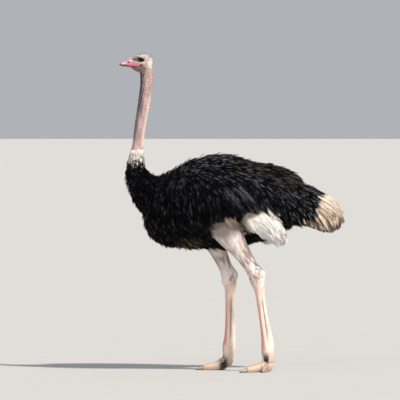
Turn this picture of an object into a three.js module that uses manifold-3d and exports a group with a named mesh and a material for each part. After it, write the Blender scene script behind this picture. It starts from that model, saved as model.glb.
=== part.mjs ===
// A life-size standing male ostrich, in millimetres: +Z up, the bird faces -Y and its left side is +X.
// Every solid is the outer shape of the living bird, out to the tips of its feathers.
import * as THREE from "three";
import { mergeVertices } from "three/addons/utils/BufferGeometryUtils.js";
import Module from "manifold-3d";

const wasm = await Module();
wasm.setup();

// ---- Driving dimensions ----
const GAP = 0.4; // clearance between neighbouring pieces
const STANCE = 112; // each foot's distance from the middle plane
const HIP_SPREAD = 148; // each knee's distance from the middle plane, inside the flank
const EYE_RADIUS = 23;
const EYE_CENTRE = { x: 27, y: -639, z: 2190 };
const NAPE_CUT = { y: -600, z: 2103, lean: 0.3 }; // where the head is parted from the neck
const MIDDLE_NECK_Z = 1838;
const COLLAR_Z = 1559; // top of the white collar, where the feathered neck begins
const WING_SIDE = 192; // middle of the folded wing's thickness, from the middle plane
const WING_LEAN = 0.09; // the wing's top leans in against the back, in radians
const PLUME_SIDE = 212; // the white plumes' distance from the middle plane
const FAR_WING_FORWARD = 70; // the right wing is carried this much further forward

const X_AXIS = new THREE.Vector3(1, 0, 0);
const Z_AXIS = new THREE.Vector3(0, 0, 1);
const ACROSS_BODY = () => X_AXIS;
const ACROSS_TOE = (along) => new THREE.Vector3().crossVectors(along, Z_AXIS);

// ---- Stations: [y, z, half width, half height over, half height under] of one cross-section each.
// "Over" is the back of the trunk and tail, the throat side of the neck and the shin side of a leg.
const TRUNK = [
  [-620, 1100, 84, 58, 70], // point of the breast
  [-606, 1101, 122, 100, 116],
  [-580, 1103, 146, 150, 166],
  [-540, 1107, 168, 190, 207],
  [-471, 1122, 197, 226, 249],
  [-401, 1144, 216, 262, 285], // shoulders
  [-296, 1167, 234, 301, 311],
  [-191, 1191, 243, 321, 326],
  [-72, 1199, 246, 331, 333], // top of the back
  [54, 1196, 242, 312, 313],
  [159, 1198, 228, 280, 280], // hips
  [264, 1213, 200, 254, 250],
  [369, 1223, 158, 220, 206],
  [439, 1231, 118, 184, 160],
  [488, 1236, 80, 128, 98], // rump
  [514, 1237, 40, 56, 42],
];
const NECK = [
  [-464, 1173, 140, 125, 120], // inside the breast
  [-513, 1208, 146, 150, 150],
  [-590, 1285, 124, 136, 125],
  [-641, 1362, 96, 118, 72],
  [-662, 1404, 80, 96, 67],
  [-671, 1446, 67, 80, 63],
  [-673, 1488, 58, 66, 58],
  [-669, 1530, 52, 58, 52], // white collar
  [-666, 1567, 43, 45, 40],
  [-659, 1628, 38, 41, 37],
  [-650, 1698, 36, 40, 35],
  [-640, 1768, 36, 41, 37],
  [-628, 1838, 37, 43, 39],
  [-615, 1908, 38, 44, 40],
  [-606, 1978, 39, 44, 41],
  [-600, 2041, 40, 45, 42],
  [-600, 2103, 41, 48, 42], // inside the head
  [-601, 2138, 38, 42, 40],
  [-604, 2168, 32, 30, 34],
];
const HEAD = [
  [-795, 2159, 6, 3, 3], // tip of the bill
  [-788, 2160, 13, 7, 8],
  [-775, 2160, 21, 10, 13],
  [-754, 2162, 27, 13, 17],
  [-730, 2164, 30, 19, 24],
  [-709, 2168, 32, 33, 38], // forehead
  [-684, 2169, 37, 49, 55],
  [-656, 2170, 43, 62, 68],
  [-625, 2172, 46, 65, 70], // eyes
  [-597, 2173, 43, 59, 63],
  [-578, 2172, 36, 47, 52],
  [-564, 2171, 25, 30, 34],
  [-557, 2170, 12, 14, 16], // back of the skull
];
const TAIL = [
  [405, 1215, 86, 110, 112], // inside the rump
  [453, 1194, 104, 126, 136],
  [530, 1163, 124, 152, 145],
  [614, 1128, 128, 138, 146],
  [691, 1096, 114, 126, 145],
  [750, 1073, 84, 88, 113],
  [782, 1064, 44, 44, 60],
  [793, 1061, 18, 18, 26], // tip of the plumes
];
const WING = [
  [-473, 1264, 16, 26, 26], // shoulder
  [-403, 1262, 54, 105, 101],
  [-297, 1238, 82, 178, 182],
  [-169, 1220, 93, 219, 225],
  [-49, 1224, 95, 223, 217],
  [57, 1218, 92, 188, 188],
  [142, 1208, 80, 126, 115],
  [213, 1177, 58, 63, 59],
  [262, 1157, 22, 20, 20], // wrist feathers, over the white plumes
];
const WING_PLUMES = [
  [75, 1083, 24, 44, 44],
  [156, 1050, 34, 105, 65],
  [227, 1019, 36, 111, 69],
  [292, 974, 33, 97, 61],
  [337, 920, 26, 71, 46],
  [360, 883, 14, 28, 22], // tips of the white plumes
];

// Legs: each row is [share of the way along the bone, half width, half depth in front, half depth behind].
const DRUMSTICK = [
  [-0.09, 24, 30, 30], // inside the shank
  [-0.04, 32, 47, 47],
  [0.0, 37, 56, 64], // hock joint
  [0.04, 40, 55, 73], // the hock's heel
  [0.08, 39, 48, 74],
  [0.13, 38, 43, 66],
  [0.18, 37, 39, 60],
  [0.26, 38, 39, 58],
  [0.38, 46, 47, 64],
  [0.54, 62, 65, 74],
  [0.7, 78, 86, 90],
  [0.86, 90, 106, 106],
  [1.0, 92, 114, 108],
  [1.12, 66, 74, 72], // knee, inside the flank
];
const SHANK = [
  [-0.13, 26, 22, 26], // inside the foot
  [-0.08, 34, 34, 37],
  [-0.02, 38, 42, 44], // toe joint
  [0.05, 38, 43, 48],
  [0.12, 34, 40, 51],
  [0.21, 29, 32, 51],
  [0.34, 25, 27, 46],
  [0.47, 23, 26, 40],
  [0.62, 23, 27, 34],
  [0.77, 26, 29, 35],
  [0.86, 31, 31, 41],
  [0.92, 36, 43, 46],
  [0.965, 39, 55, 48],
  [1.0, 40, 56, 53], // hock joint
  [1.05, 36, 42, 46],
  [1.09, 22, 24, 28],
];
// Toes: [share of the toe's length, height of its middle, half width, half height].
const MAIN_TOE = [
  [-0.2, 40, 20, 22],
  [-0.12, 43, 31, 38],
  [0.04, 45, 38, 43],
  [0.22, 37, 37, 38],
  [0.42, 30, 34, 32],
  [0.6, 25, 31, 29],
  [0.78, 21, 29, 26],
  [0.92, 18, 23, 22],
  [1.0, 15, 15, 16],
];
const OUTER_TOE = [
  [-0.14, 46, 22, 28],
  [0.1, 42, 26, 34],
  [0.38, 27, 24, 28],
  [0.65, 20, 22, 22],
  [0.85, 15, 17, 18],
  [1.0, 12, 10, 12],
];
const LEGS = {
  left: {
    side: 1,
    knee: [-71, 1049],
    hock: [178, 644],
    toeJoint: [252, 111],
    toeOut: 0.52,
    outerToeOut: 1.24,
    heelUp: 0,
  },
  right: {
    side: -1,
    knee: [-206, 1084],
    hock: [-16, 634],
    toeJoint: [-25, 127],
    toeOut: 0.05,
    outerToeOut: 0.76,
    heelUp: 26,
  },
};
const HEEL_REACH = 0.45; // share of a toe that rises with its lifted heel
const MAIN_TOE_LENGTH = 190; // from under the toe joint to the root of the claw
const OUTER_TOE_LENGTH = 112;
const MAIN_CLAW = { length: 46, wide: 21 };
const OUTER_CLAW = { length: 20, wide: 12 };

// ---- Sweeping and cutting ----

// How full a cross-section is near the ends: 1 in the middle, and 0 at a rounded end.
function endRound(t, cap) {
  const reach = Math.min(t, 1 - t);
  return reach >= cap ? 1 : Math.sqrt(Math.max(0, 1 - (1 - reach / cap) ** 2));
}

// A closed body swept through oval sections {at, wide, over, under}. "across" gives a section's sideways axis.
function sweep(sections, { sides = 16, rings = 20, across = ACROSS_BODY, cap = 0.03, grow = 0 } = {}) {
  const spine = new THREE.CatmullRomCurve3(sections.map((s) => s.at), false, "centripetal");
  const girths = sections.map((s) => new THREE.Vector3(s.wide, s.over, s.under));
  const girth = new THREE.CatmullRomCurve3(girths, false, "centripetal");
  const positions = [];
  const faces = [];
  for (let i = 0; i <= rings; i++) {
    const t = i / rings;
    const middle = spine.getPoint(t);
    const along = spine.getTangent(t);
    const side = across(along).clone();
    side.addScaledVector(along, -side.dot(along)).normalize();
    const up = new THREE.Vector3().crossVectors(side, along).normalize();
    const round = Math.max(endRound(t, cap), 0.02);
    const size = girth.getPoint(t).multiplyScalar(round).addScalar(grow);
    for (let j = 0; j < sides; j++) {
      const turn = (2 * Math.PI * j) / sides;
      const height = Math.sin(turn) * (Math.sin(turn) > 0 ? size.y : size.z);
      const point = middle.clone();
      point.addScaledVector(side, Math.cos(turn) * size.x).addScaledVector(up, height);
      positions.push(...point);
    }
  }
  const poles = [spine.getPoint(0), spine.getPoint(1)];
  poles.forEach((pole) => positions.push(...pole));
  const [first, last] = [(rings + 1) * sides, (rings + 1) * sides + 1];
  for (let j = 0; j < sides; j++) {
    const next = (j + 1) % sides;
    faces.push(first, j, next);
    faces.push(last, rings * sides + next, rings * sides + j);
    for (let i = 0; i < rings; i++) {
      const [a, b] = [i * sides + j, i * sides + next];
      faces.push(a, a + sides, b + sides, a, b + sides, b);
    }
  }
  const geometry = new THREE.BufferGeometry();
  geometry.setAttribute("position", new THREE.Float32BufferAttribute(positions, 3));
  geometry.setIndex(faces);
  return geometry;
}

function solid(geometry) {
  const bare = new THREE.BufferGeometry();
  bare.setAttribute("position", geometry.getAttribute("position"));
  bare.setIndex(geometry.index);
  const merged = mergeVertices(bare, 1e-4);
  const made = new wasm.Manifold(
    new wasm.Mesh({
      numProp: 3,
      vertProperties: merged.getAttribute("position").array,
      triVerts: new Uint32Array(merged.index.array),
    }),
  );
  if (made.volume() > 0) return made;
  const flipped = new Uint32Array(merged.index.array).reverse();
  const vertProperties = merged.getAttribute("position").array;
  return new wasm.Manifold(new wasm.Mesh({ numProp: 3, vertProperties, triVerts: flipped }));
}

function geometryOf(made) {
  const mesh = made.getMesh();
  const geometry = new THREE.BufferGeometry();
  geometry.setAttribute("position", new THREE.BufferAttribute(mesh.vertProperties, 3));
  geometry.setIndex(new THREE.BufferAttribute(mesh.triVerts, 1));
  return geometry;
}

const largest = (made) => made.decompose().reduce((a, b) => (a.volume() > b.volume() ? a : b));

// The block of space that a side-view outline, in [y, z] points, covers right across the bird.
function block(outline, width = 400) {
  const shape = new THREE.Shape(outline.map(([y, z]) => new THREE.Vector2(y, z)));
  const geometry = new THREE.ExtrudeGeometry(shape, { depth: 2 * width, bevelEnabled: false });
  geometry.translate(0, 0, -width);
  geometry.applyMatrix4(new THREE.Matrix4().makeBasis(new THREE.Vector3(0, 1, 0), Z_AXIS, X_AXIS));
  return solid(geometry);
}

const FLOOR = solid(new THREE.BoxGeometry(4000, 4000, 400).translate(0, 0, -200));

// Sections of a body part in the middle plane, or x to its side.
const sectionsOf = (stations, x = 0, forward = 0) =>
  stations.map(([y, z, wide, over, under]) => ({
    at: new THREE.Vector3(x, y - forward, z),
    wide,
    over,
    under,
  }));

// ---- Trunk, tail, neck and head ----
const TRUNK_MESH = { sides: 22, rings: 20, cap: 0.07 };
const trunk = solid(sweep(sectionsOf(TRUNK), TRUNK_MESH));
const trunkRoom = solid(sweep(sectionsOf(TRUNK), { ...TRUNK_MESH, grow: GAP }));

const tail = largest(solid(sweep(sectionsOf(TAIL), { sides: 16, rings: 10, cap: 0.12 })).subtract(trunkRoom));

const neckWhole = solid(sweep(sectionsOf(NECK), { sides: 14, rings: 28, cap: 0.03 }));
const headWhole = solid(sweep(sectionsOf(HEAD), { sides: 16, rings: 20, cap: 0.05 }));

const [NECK_FRONT, NECK_BACK] = [-1000, -100];
// A slab between two heights that both lean as the cut at the nape does.
const neckSlab = (low, high, lowLean = 0, highLean = 0) =>
  block([
    [NECK_FRONT, low + lowLean * (NAPE_CUT.y - NECK_FRONT) * -1],
    [NECK_BACK, low + lowLean * (NECK_BACK - NAPE_CUT.y)],
    [NECK_BACK, high + highLean * (NECK_BACK - NAPE_CUT.y)],
    [NECK_FRONT, high + highLean * (NAPE_CUT.y - NECK_FRONT) * -1],
  ]);
const TOP = 2600;
const headSpace = neckSlab(NAPE_CUT.z + GAP, TOP, NAPE_CUT.lean, 0);
const upperNeckSpace = neckSlab(MIDDLE_NECK_Z + GAP, NAPE_CUT.z, 0, NAPE_CUT.lean);
const lowerNeckSpace = neckSlab(COLLAR_Z + GAP, MIDDLE_NECK_Z);
const neckBaseSpace = neckSlab(800, COLLAR_Z);

const neckUpper = largest(neckWhole.intersect(upperNeckSpace));
const neckLower = largest(neckWhole.intersect(lowerNeckSpace));
const neckBase = largest(neckWhole.intersect(neckBaseSpace).subtract(trunkRoom));

// The mouth line runs from the bill's tip back to its corner under the eye.
const MOUTH = [
  [-830, 2153],
  [-752, 2152.5],
  [-700, 2144],
  [-672, 2142],
];
const BILL_TOP = [-716, 2248]; // where the forehead's bristles begin
const CHIN = [-696, 2098];
const shifted = (points, dz) => points.map(([y, z]) => [y, z + dz]);
const FAR_FRONT = -830;
const upperBillSpace = block([...shifted(MOUTH, GAP / 2), BILL_TOP, [FAR_FRONT, BILL_TOP[1]]]);
const lowerBillSpace = block([...shifted(MOUTH, -GAP / 2).slice(0, 3), CHIN, [FAR_FRONT, CHIN[1]]]);
const skullSpace = block([
  [MOUTH[3][0] + GAP, MOUTH[3][1]],
  [BILL_TOP[0] + GAP, BILL_TOP[1]],
  [BILL_TOP[0] + GAP, TOP],
  [-300, TOP],
  [-300, 1900],
  [CHIN[0] + GAP, 1900],
  [CHIN[0] + GAP, CHIN[1]],
  [MOUTH[2][0] + GAP, MOUTH[2][1] - GAP / 2],
  [MOUTH[3][0] + GAP, MOUTH[3][1] - GAP / 2],
]);

const eyeAt = (side, grow = 0) => {
  const ball = new THREE.SphereGeometry(EYE_RADIUS + grow, 12, 8);
  ball.rotateZ(Math.PI / 2).translate(side * EYE_CENTRE.x, EYE_CENTRE.y, EYE_CENTRE.z);
  return solid(ball);
};

const upperBill = largest(headWhole.intersect(upperBillSpace));
const lowerBill = largest(headWhole.intersect(lowerBillSpace));
const head = largest(
  headWhole
    .add(neckWhole)
    .intersect(headSpace)
    .intersect(skullSpace)
    .subtract(eyeAt(1, GAP))
    .subtract(eyeAt(-1, GAP)),
);

// ---- Wings: the folded arm with its black coverts, and the white plumes behind it ----
function wing(side, forward, grow = 0) {
  const sections = sectionsOf(WING, side * WING_SIDE, forward);
  const across = () => new THREE.Vector3(Math.cos(WING_LEAN), 0, side * Math.sin(WING_LEAN));
  return solid(sweep(sections, { sides: 16, rings: 12, across, cap: 0.06, grow }));
}

function plumes(side, forward) {
  const sections = sectionsOf(WING_PLUMES, side * PLUME_SIDE, forward);
  return solid(sweep(sections, { sides: 12, rings: 8, cap: 0.08 }));
}

// ---- Legs ----
function legSections(table, low, high, x) {
  return table.map(([share, wide, over, under]) => ({
    at: new THREE.Vector3(
      THREE.MathUtils.lerp(x[0], x[1], share),
      THREE.MathUtils.lerp(low[0], high[0], share),
      THREE.MathUtils.lerp(low[1], high[1], share),
    ),
    wide,
    over,
    under,
  }));
}

// A toe runs from under its joint, out by an angle from straight ahead, and is cut flat by the floor.
function toeSections(table, leg, out, length) {
  const heading = new THREE.Vector3(leg.side * Math.sin(out), -Math.cos(out), 0);
  const lift = (share) => leg.heelUp * THREE.MathUtils.clamp(1 - share / HEEL_REACH, 0, 1);
  return table.map(([share, middle, wide, high]) => ({
    at: new THREE.Vector3(leg.side * STANCE, leg.toeJoint[0], middle + lift(share)).addScaledVector(
      heading,
      share * length,
    ),
    wide,
    over: high,
    under: high,
  }));
}

function clawSections(leg, out, toeLength, { length, wide }) {
  const heading = new THREE.Vector3(leg.side * Math.sin(out), -Math.cos(out), 0);
  const rows = [
    [-0.35, 13, 0.75, 9],
    [0, 14, 1, 13],
    [0.3, 11, 0.95, 12],
    [0.65, 7, 0.7, 8],
    [1, 3, 0.3, 4],
  ];
  return rows.map(([share, middle, width, high]) => ({
    at: new THREE.Vector3(leg.side * STANCE, leg.toeJoint[0], middle).addScaledVector(
      heading,
      toeLength + share * length,
    ),
    wide: wide * width,
    over: high,
    under: high,
  }));
}

function leg(name, part) {
  const x = part.side * STANCE;
  const kneeX = part.side * HIP_SPREAD;
  const shankSections = legSections(SHANK, part.toeJoint, part.hock, [x, x]);
  const drumSections = legSections(DRUMSTICK, part.hock, part.knee, [x, kneeX]);
  const shankMesh = { sides: 12, rings: 15, cap: 0.03 };
  const drumMesh = { sides: 14, rings: 13, cap: 0.03 };
  const toeMesh = { sides: 10, rings: 8, across: ACROSS_TOE, cap: 0.1 };
  const clawMesh = { sides: 8, rings: 5, across: ACROSS_TOE, cap: 0.1 };
  const grown = (mesh) => ({ ...mesh, grow: GAP });

  const shankRoom = solid(sweep(shankSections, grown(shankMesh)));
  const mainSections = toeSections(MAIN_TOE, part, part.toeOut, MAIN_TOE_LENGTH);
  const outerSections = toeSections(OUTER_TOE, part, part.outerToeOut, OUTER_TOE_LENGTH);
  const mainRoom = solid(sweep(mainSections, grown(toeMesh)));
  const outerRoom = solid(sweep(outerSections, grown(toeMesh)));
  const mainClaw = clawSections(part, part.toeOut, MAIN_TOE_LENGTH, MAIN_CLAW);
  const outerClaw = clawSections(part, part.outerToeOut, OUTER_TOE_LENGTH, OUTER_CLAW);

  const shank = largest(solid(sweep(shankSections, shankMesh)).subtract(FLOOR));
  const drumstick = solid(sweep(drumSections, drumMesh)).subtract(shankRoom);
  const mainToe = solid(sweep(mainSections, toeMesh)).subtract(FLOOR).subtract(shankRoom);
  const outerToe = solid(sweep(outerSections, toeMesh))
    .subtract(FLOOR)
    .subtract(shankRoom)
    .subtract(mainRoom);
  return {
    [`${name}_shank`]: shank,
    [`${name}_drumstick`]: drumstick,
    [`${name}_main_toe`]: largest(mainToe),
    [`${name}_outer_toe`]: largest(outerToe),
    [`${name}_main_claw`]: largest(solid(sweep(mainClaw, clawMesh)).subtract(FLOOR).subtract(mainRoom)),
    [`${name}_outer_claw`]: largest(solid(sweep(outerClaw, clawMesh)).subtract(FLOOR).subtract(outerRoom)),
  };
}

// ---- Materials ----
const coat = (color, roughness = 0.85) => new THREE.MeshStandardMaterial({ color, roughness, metalness: 0 });
const BLACK_PLUMAGE = coat(0x141317, 0.6);
const WHITE_PLUMAGE = coat(0xe9dfd2);
const BUFF_PLUMAGE = coat(0xd8bea0);
const NECK_SKIN = coat(0xc9a399);
const LEG_SKIN = coat(0xbfa497);
const BILL_HORN = coat(0xd9a8a4, 0.45);
const CLAW_HORN = coat(0x8d7b68, 0.5);
const EYE_GLOSS = coat(0x1d120c, 0.1);

// ---- The bird ----
const ostrich = new THREE.Group();

function addPiece(name, made, material) {
  const mesh = new THREE.Mesh(geometryOf(made), material);
  mesh.name = name;
  ostrich.add(mesh);
}

addPiece("head", head, NECK_SKIN);
addPiece("upper_bill", upperBill, BILL_HORN);
addPiece("lower_bill", lowerBill, BILL_HORN);
addPiece("neck_upper", neckUpper, NECK_SKIN);
addPiece("neck_lower", neckLower, NECK_SKIN);
addPiece("neck_base", neckBase, BLACK_PLUMAGE);
addPiece("trunk", trunk, BLACK_PLUMAGE);
addPiece("tail", tail, BUFF_PLUMAGE);

for (const [name, part] of Object.entries(LEGS)) {
  const forward = part.side < 0 ? FAR_WING_FORWARD : 0;
  const wingRoom = wing(part.side, forward, GAP);
  addPiece(`${name}_eye`, eyeAt(part.side), EYE_GLOSS);
  addPiece(`${name}_wing`, largest(wing(part.side, forward).subtract(trunkRoom)), BLACK_PLUMAGE);
  const pieces = leg(name, part);
  const drumstick = largest(pieces[`${name}_drumstick`].subtract(trunkRoom).subtract(wingRoom));
  const plumeMass = plumes(part.side, forward).subtract(trunkRoom).subtract(wingRoom);
  pieces[`${name}_drumstick`] = largest(drumstick.subtract(plumes(part.side, forward)));
  addPiece(`${name}_wing_plumes`, largest(plumeMass), WHITE_PLUMAGE);
  for (const [node, made] of Object.entries(pieces)) {
    addPiece(node, made, node.endsWith("claw") ? CLAW_HORN : LEG_SKIN);
  }
}

export default ostrich;
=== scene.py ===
import itertools
import math
import bmesh
import bpy
import numpy as np
from mathutils import Matrix, Vector
from mathutils.bvhtree import BVHTree


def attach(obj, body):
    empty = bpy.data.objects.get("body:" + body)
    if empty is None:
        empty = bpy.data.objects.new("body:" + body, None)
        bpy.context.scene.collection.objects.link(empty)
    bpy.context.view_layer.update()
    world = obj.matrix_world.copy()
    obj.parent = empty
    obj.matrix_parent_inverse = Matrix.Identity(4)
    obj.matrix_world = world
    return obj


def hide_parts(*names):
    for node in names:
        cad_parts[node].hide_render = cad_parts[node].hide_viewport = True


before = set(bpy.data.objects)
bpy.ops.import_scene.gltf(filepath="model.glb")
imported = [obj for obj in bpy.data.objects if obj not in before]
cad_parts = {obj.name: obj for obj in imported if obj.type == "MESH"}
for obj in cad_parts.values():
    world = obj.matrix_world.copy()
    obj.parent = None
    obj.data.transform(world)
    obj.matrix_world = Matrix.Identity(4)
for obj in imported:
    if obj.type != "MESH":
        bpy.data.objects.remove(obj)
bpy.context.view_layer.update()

# A life-size standing male ostrich. Metres, +Z up; the bird faces -Y and its left side is +X.
# Places and outlines on the body are given in side view as (y, z).
MM = 0.001
SIDES = {"left": 1, "right": -1}
STANCE = 112 * MM  # from the middle plane to each foot
WING_FORWARD = {"left": 0.0, "right": 70 * MM}  # how far ahead of the left wing each wing sits
THIGH_FORWARD = {"left": 0.0, "right": 135 * MM}
LEG_POINTS = {
    "left": {"toe_joint": (252, 111), "hock": (178, 644), "knee": (-71, 1049)},
    "right": {"toe_joint": (-25, 127), "hock": (-16, 634), "knee": (-206, 1084)},
}  # millimetres
TOE_TURNS = {"left": (0.52, 1.24), "right": (0.05, 0.76)}  # radians that the big and outer toe point out
EYE_CENTRE = np.array((27, -639, 2190)) * MM
EYE_RADIUS = 23 * MM
LID_RADIUS = EYE_RADIUS + 2.6 * MM
LID = np.array((17.5, 12.0)) * MM  # half length and half height of the open eye
LID_SLOPE = 0.083  # the opening drops this much for its length towards the back
NECK_Y = -0.5  # head, neck and collar lie in front of this
COLLAR_BOTTOM, COLLAR_TOP = 1.44, 1.561
ROOTS = {
    "coat": 11600, "coverts": 80, "wing_plumes": 120, "tail_plumes": 230, "fluff": 200, "down": 5200,
    "wisps": 130, "lashes": 30,
}  # how many grow in each kind of coat
BLADE_THICK = 0.3  # height of a blade's ridge, as a share of its width
BLADE_ROLL = 0.2  # how far blades roll out of line
PATCH = 0.0024  # size of a tuft on the OFBake map
SHANK_SCUTES = 30
GAPE_LINE = [(-0.715, 2.147), (-0.69, 2.143), (-0.668, 2.142), (-0.648, 2.149), (-0.635, 2.157)]
MOUTH_LINE = [(-0.83, 2.153), (-0.752, 2.1525), (-0.7, 2.144), (-0.672, 2.142)]
LORE_LINE = [(-0.716, 2.196), (-0.69, 2.194), (-0.655, 2.194)]
BROW_LINE = [(-0.69, 2.212), (-0.655, 2.209), (-0.625, 2.207)]
# lines of painted shadow: down the back of the jaw and under the ear
JAW_LINE = [(-0.645, 2.155), (-0.634, 2.147), (-0.621, 2.132), (-0.617, 2.108), (-0.624, 2.08)]
EAR_LINE = [(-0.592, 2.13), (-0.57, 2.124)]
LIP_LINE = [(-0.735, 2.172), (-0.7, 2.17), (-0.672, 2.158), (-0.647, 2.153)]
PINK_LINE = [(-0.71, 2.16), (-0.672, 2.157), (-0.65, 2.155)]
NECK_CREASE = [(-0.611, 2.07), (-0.628, 1.98), (-0.645, 1.9), (-0.662, 1.838)]
NECK_SPINE = [
    (1.15, -0.46), (1.27, -0.59), (1.39, -0.66), (1.47, -0.673), (1.6, -0.66), (1.82, -0.628), (2.1, -0.6),
]  # (z, y)
BODY_SPINE = [(-0.62, 1.05), (-0.3, 1.15), (0.2, 1.19), (0.5, 1.2), (0.8, 1.04)]
# The white plumes under the near wing; black feathers end in a point over them.
PLUME_EDGE = [
    (0.06, 1.06), (0.1, 1.118), (0.15, 1.128), (0.196, 1.144), (0.262, 1.085), (0.236, 1.176), (0.3, 1.112),
    (0.375, 1.015), (0.385, 0.93), (0.355, 0.872), (0.285, 0.868), (0.24, 0.93), (0.2, 0.945), (0.1, 1.0),
]
# The whole tail, out to its tips.
TAIL_EDGE = [
    (0.4, 1.2), (0.56, 1.33), (0.69, 1.262), (0.748, 1.208), (0.783, 1.15), (0.797, 1.092), (0.793, 1.036),
    (0.762, 0.985), (0.72, 0.955), (0.66, 0.96), (0.604, 0.98), (0.548, 1.02), (0.46, 1.02),
]
# The near thigh where no black feather hangs over it.
THIGH_EDGE = [
    (-0.17, 0.997), (-0.142, 1.029), (-0.114, 1.046), (-0.058, 1.055), (0.0, 1.052), (0.055, 1.024),
    (0.097, 0.987), (0.12, 0.88), (-0.07, 0.85), (-0.13, 0.92),
]
# The lie of the coat: y, z, the way a feather points (degrees below straight back) and its
# length. Millimetres.
LIE = np.array([
    (-664, 1548, 90, 40), (-668, 1488, 88, 52), (-655, 1418, 86, 56), (-649, 1275, 80, 62),
    (-590, 1368, 74, 50), (-579, 1029, 76, 74), (-438, 923, 56, 76), (-227, 888, 28, 74),
    (-500, 1348, 62, 62), (-297, 1451, 36, 70), (-72, 1515, 16, 76), (125, 1472, 14, 78),
    (337, 1416, 24, 84), (477, 1275, 50, 92), (407, 1099, 62, 92), (210, 958, 48, 84),
    (125, 908, 30, 76), (-367, 1240, 72, 72), (-297, 1099, 70, 76), (-156, 1240, 62, 80),
    (-121, 1050, 74, 82), (-121, 1402, 36, 76), (55, 1345, 42, 84), (125, 1205, 58, 88),
    (210, 1120, 66, 88), (477, 1275, 22, 80), (548, 1240, 32, 80), (477, 1134, 55, 80),
    (632, 1261, 28, 96), (724, 1205, 48, 92), (780, 1120, 78, 80), (787, 1029, 100, 66),
    (689, 1099, 58, 100), (604, 1134, 52, 100), (548, 1050, 66, 90), (632, 994, 66, 84),
    (724, 994, 80, 74), (150, 1090, 40, 80), (220, 1060, 48, 84), (300, 1000, 62, 84),
    (345, 930, 74, 70), (180, 1000, 44, 70),
], float)
NECK_COATS = ("collar_feathers", "neck_base_feathers")
LEG_PARTS = ("drumstick", "shank", "main_toe", "outer_toe")
BODY_NODES = ["trunk", "neck_base", "tail", "left_wing", "right_wing"]
BODY_NODES += ["left_wing_plumes", "right_wing_plumes"]
SKIN_NODES = ["head", "neck_upper", "neck_lower"] + BODY_NODES
SKIN_NODES += [f"{side}_{part}" for side in SIDES for part in LEG_PARTS]
CAMERA_DISTANCE = 30.0
CAMERA_Y, CAMERA_Z = -0.2266, 1.668
SCALE = 7.04 * MM  # size of one image point on the bird's middle plane
HALF_VIEW = 200 * SCALE
AIM_DROP = 65.8 * SCALE  # from the camera's height down to the middle of the view


# ---------------------------------------------------------------- plain arithmetic

def unit(vectors):
    return vectors / np.maximum(np.linalg.norm(vectors, axis=-1, keepdims=True), 1e-9)


def ramp(values, low, high):
    """Rises smoothly from 0 at low to 1 at high."""
    t = np.clip((values - low) / (high - low), 0, 1)
    return t * t * (3 - 2 * t)


def between(values, start, full, fading, gone):
    """0 up to start, 1 from full to fading, and 0 again from gone on."""
    return ramp(values, start, full) * (1 - ramp(values, fading, gone))


def bell(values, width, power=2):
    """1 where values are 0, fading to nothing within about two widths on either side."""
    return np.exp(-((values / width) ** power))


def spot(points, centre, radii, power=2):
    """1 at a place in side view, fading out over an oval."""
    return bell(points[:, 1] - centre[0], radii[0], power) * bell(points[:, 2] - centre[1], radii[1], power)


def noise(points, size, seed=0):
    """Smooth noise from -1 to 1 with bumps about `size` millimetres across, one number or three."""
    p = points / (np.asarray(size) * MM) + 1000.0
    cell = np.floor(p).astype(np.int64)
    f = p - cell
    f = f * f * (3 - 2 * f)
    total = np.zeros(len(points))
    for corner in itertools.product((0, 1), repeat=3):
        c = cell + corner
        h = (c[:, 0] * 73856093) ^ (c[:, 1] * 19349663) ^ (c[:, 2] * 83492791) ^ (seed * 7919 + 13)
        h = ((h & 0x7FFFFFFF) * 1103515245 + 12345) & 0x7FFFFFFF
        h = ((h ^ (h >> 13)) * 69069 + 1) & 0x7FFFFFFF
        weight = np.ones(len(points))
        for axis in range(3):
            weight = weight * (f[:, axis] if corner[axis] else 1 - f[:, axis])
        total += weight * (h / 0x3FFFFFFF - 1)
    return total


def along_line(points, line):
    """Distance of each point from a side-view line, and its nearest place along it (0 to 1)."""
    points, line = points[:, 1:], np.asarray(line, float)
    lengths = np.linalg.norm(line[1:] - line[:-1], axis=1)
    starts = np.concatenate(([0], np.cumsum(lengths)))
    best = np.full(len(points), np.inf)
    place = np.zeros(len(points))
    for a, b, length, start in zip(line[:-1], line[1:], lengths, starts):
        t = np.clip(((points - a) @ (b - a)) / length**2, 0, 1)
        distance = np.linalg.norm(points - (a + t[:, None] * (b - a)), axis=1)
        closer = distance < best
        best[closer] = distance[closer]
        place[closer] = ((start + t * length) / starts[-1])[closer]
    return best, place


def streak(points, line, width, power=2):
    """1 along a side-view line, fading out to its sides."""
    return bell(along_line(points, line)[0], width, power)


def inside(y, z, outline):
    """True for places inside a closed side-view outline of (y, z) corners."""
    found = np.zeros(len(y), bool)
    for (y0, z0), (y1, z1) in zip(outline, outline[1:] + outline[:1]):
        crosses = (z0 > z) != (z1 > z)
        found ^= crosses & (y < (y1 - y0) * (z - z0) / (z1 - z0 + 1e-12) + y0)
    return found


# ---------------------------------------------------------------- places on the bird

def set_forward(points, distances):
    """How far forward the wing or the thigh on each point's side sits."""
    return np.where(points[:, 0] < 0, distances["right"], distances["left"])


def over_bare_thigh(points):
    near = inside(points[:, 1] + set_forward(points, THIGH_FORWARD), points[:, 2], THIGH_EDGE)
    return near & (np.abs(points[:, 0]) > 0.13)


def plume_share(points):
    """1 on the white plumes under each wing."""
    found = inside(points[:, 1] + set_forward(points, WING_FORWARD), points[:, 2], PLUME_EDGE)
    return (found & (np.abs(points[:, 0]) > 0.15)).astype(float)


def tail_edge(z):
    """How far back the black of the rump gives way to the pale tail, at each height."""
    return np.interp(z, (1.0, 1.087, 1.122, 1.27), (0.425, 0.47, 0.54, 0.588))


def leg_place(side, name):
    """A leg's toe joint, hock or knee; the knee only in side view."""
    y, z = LEG_POINTS[side][name]
    return np.array((SIDES[side] * STANCE, y * MM, z * MM))


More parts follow.
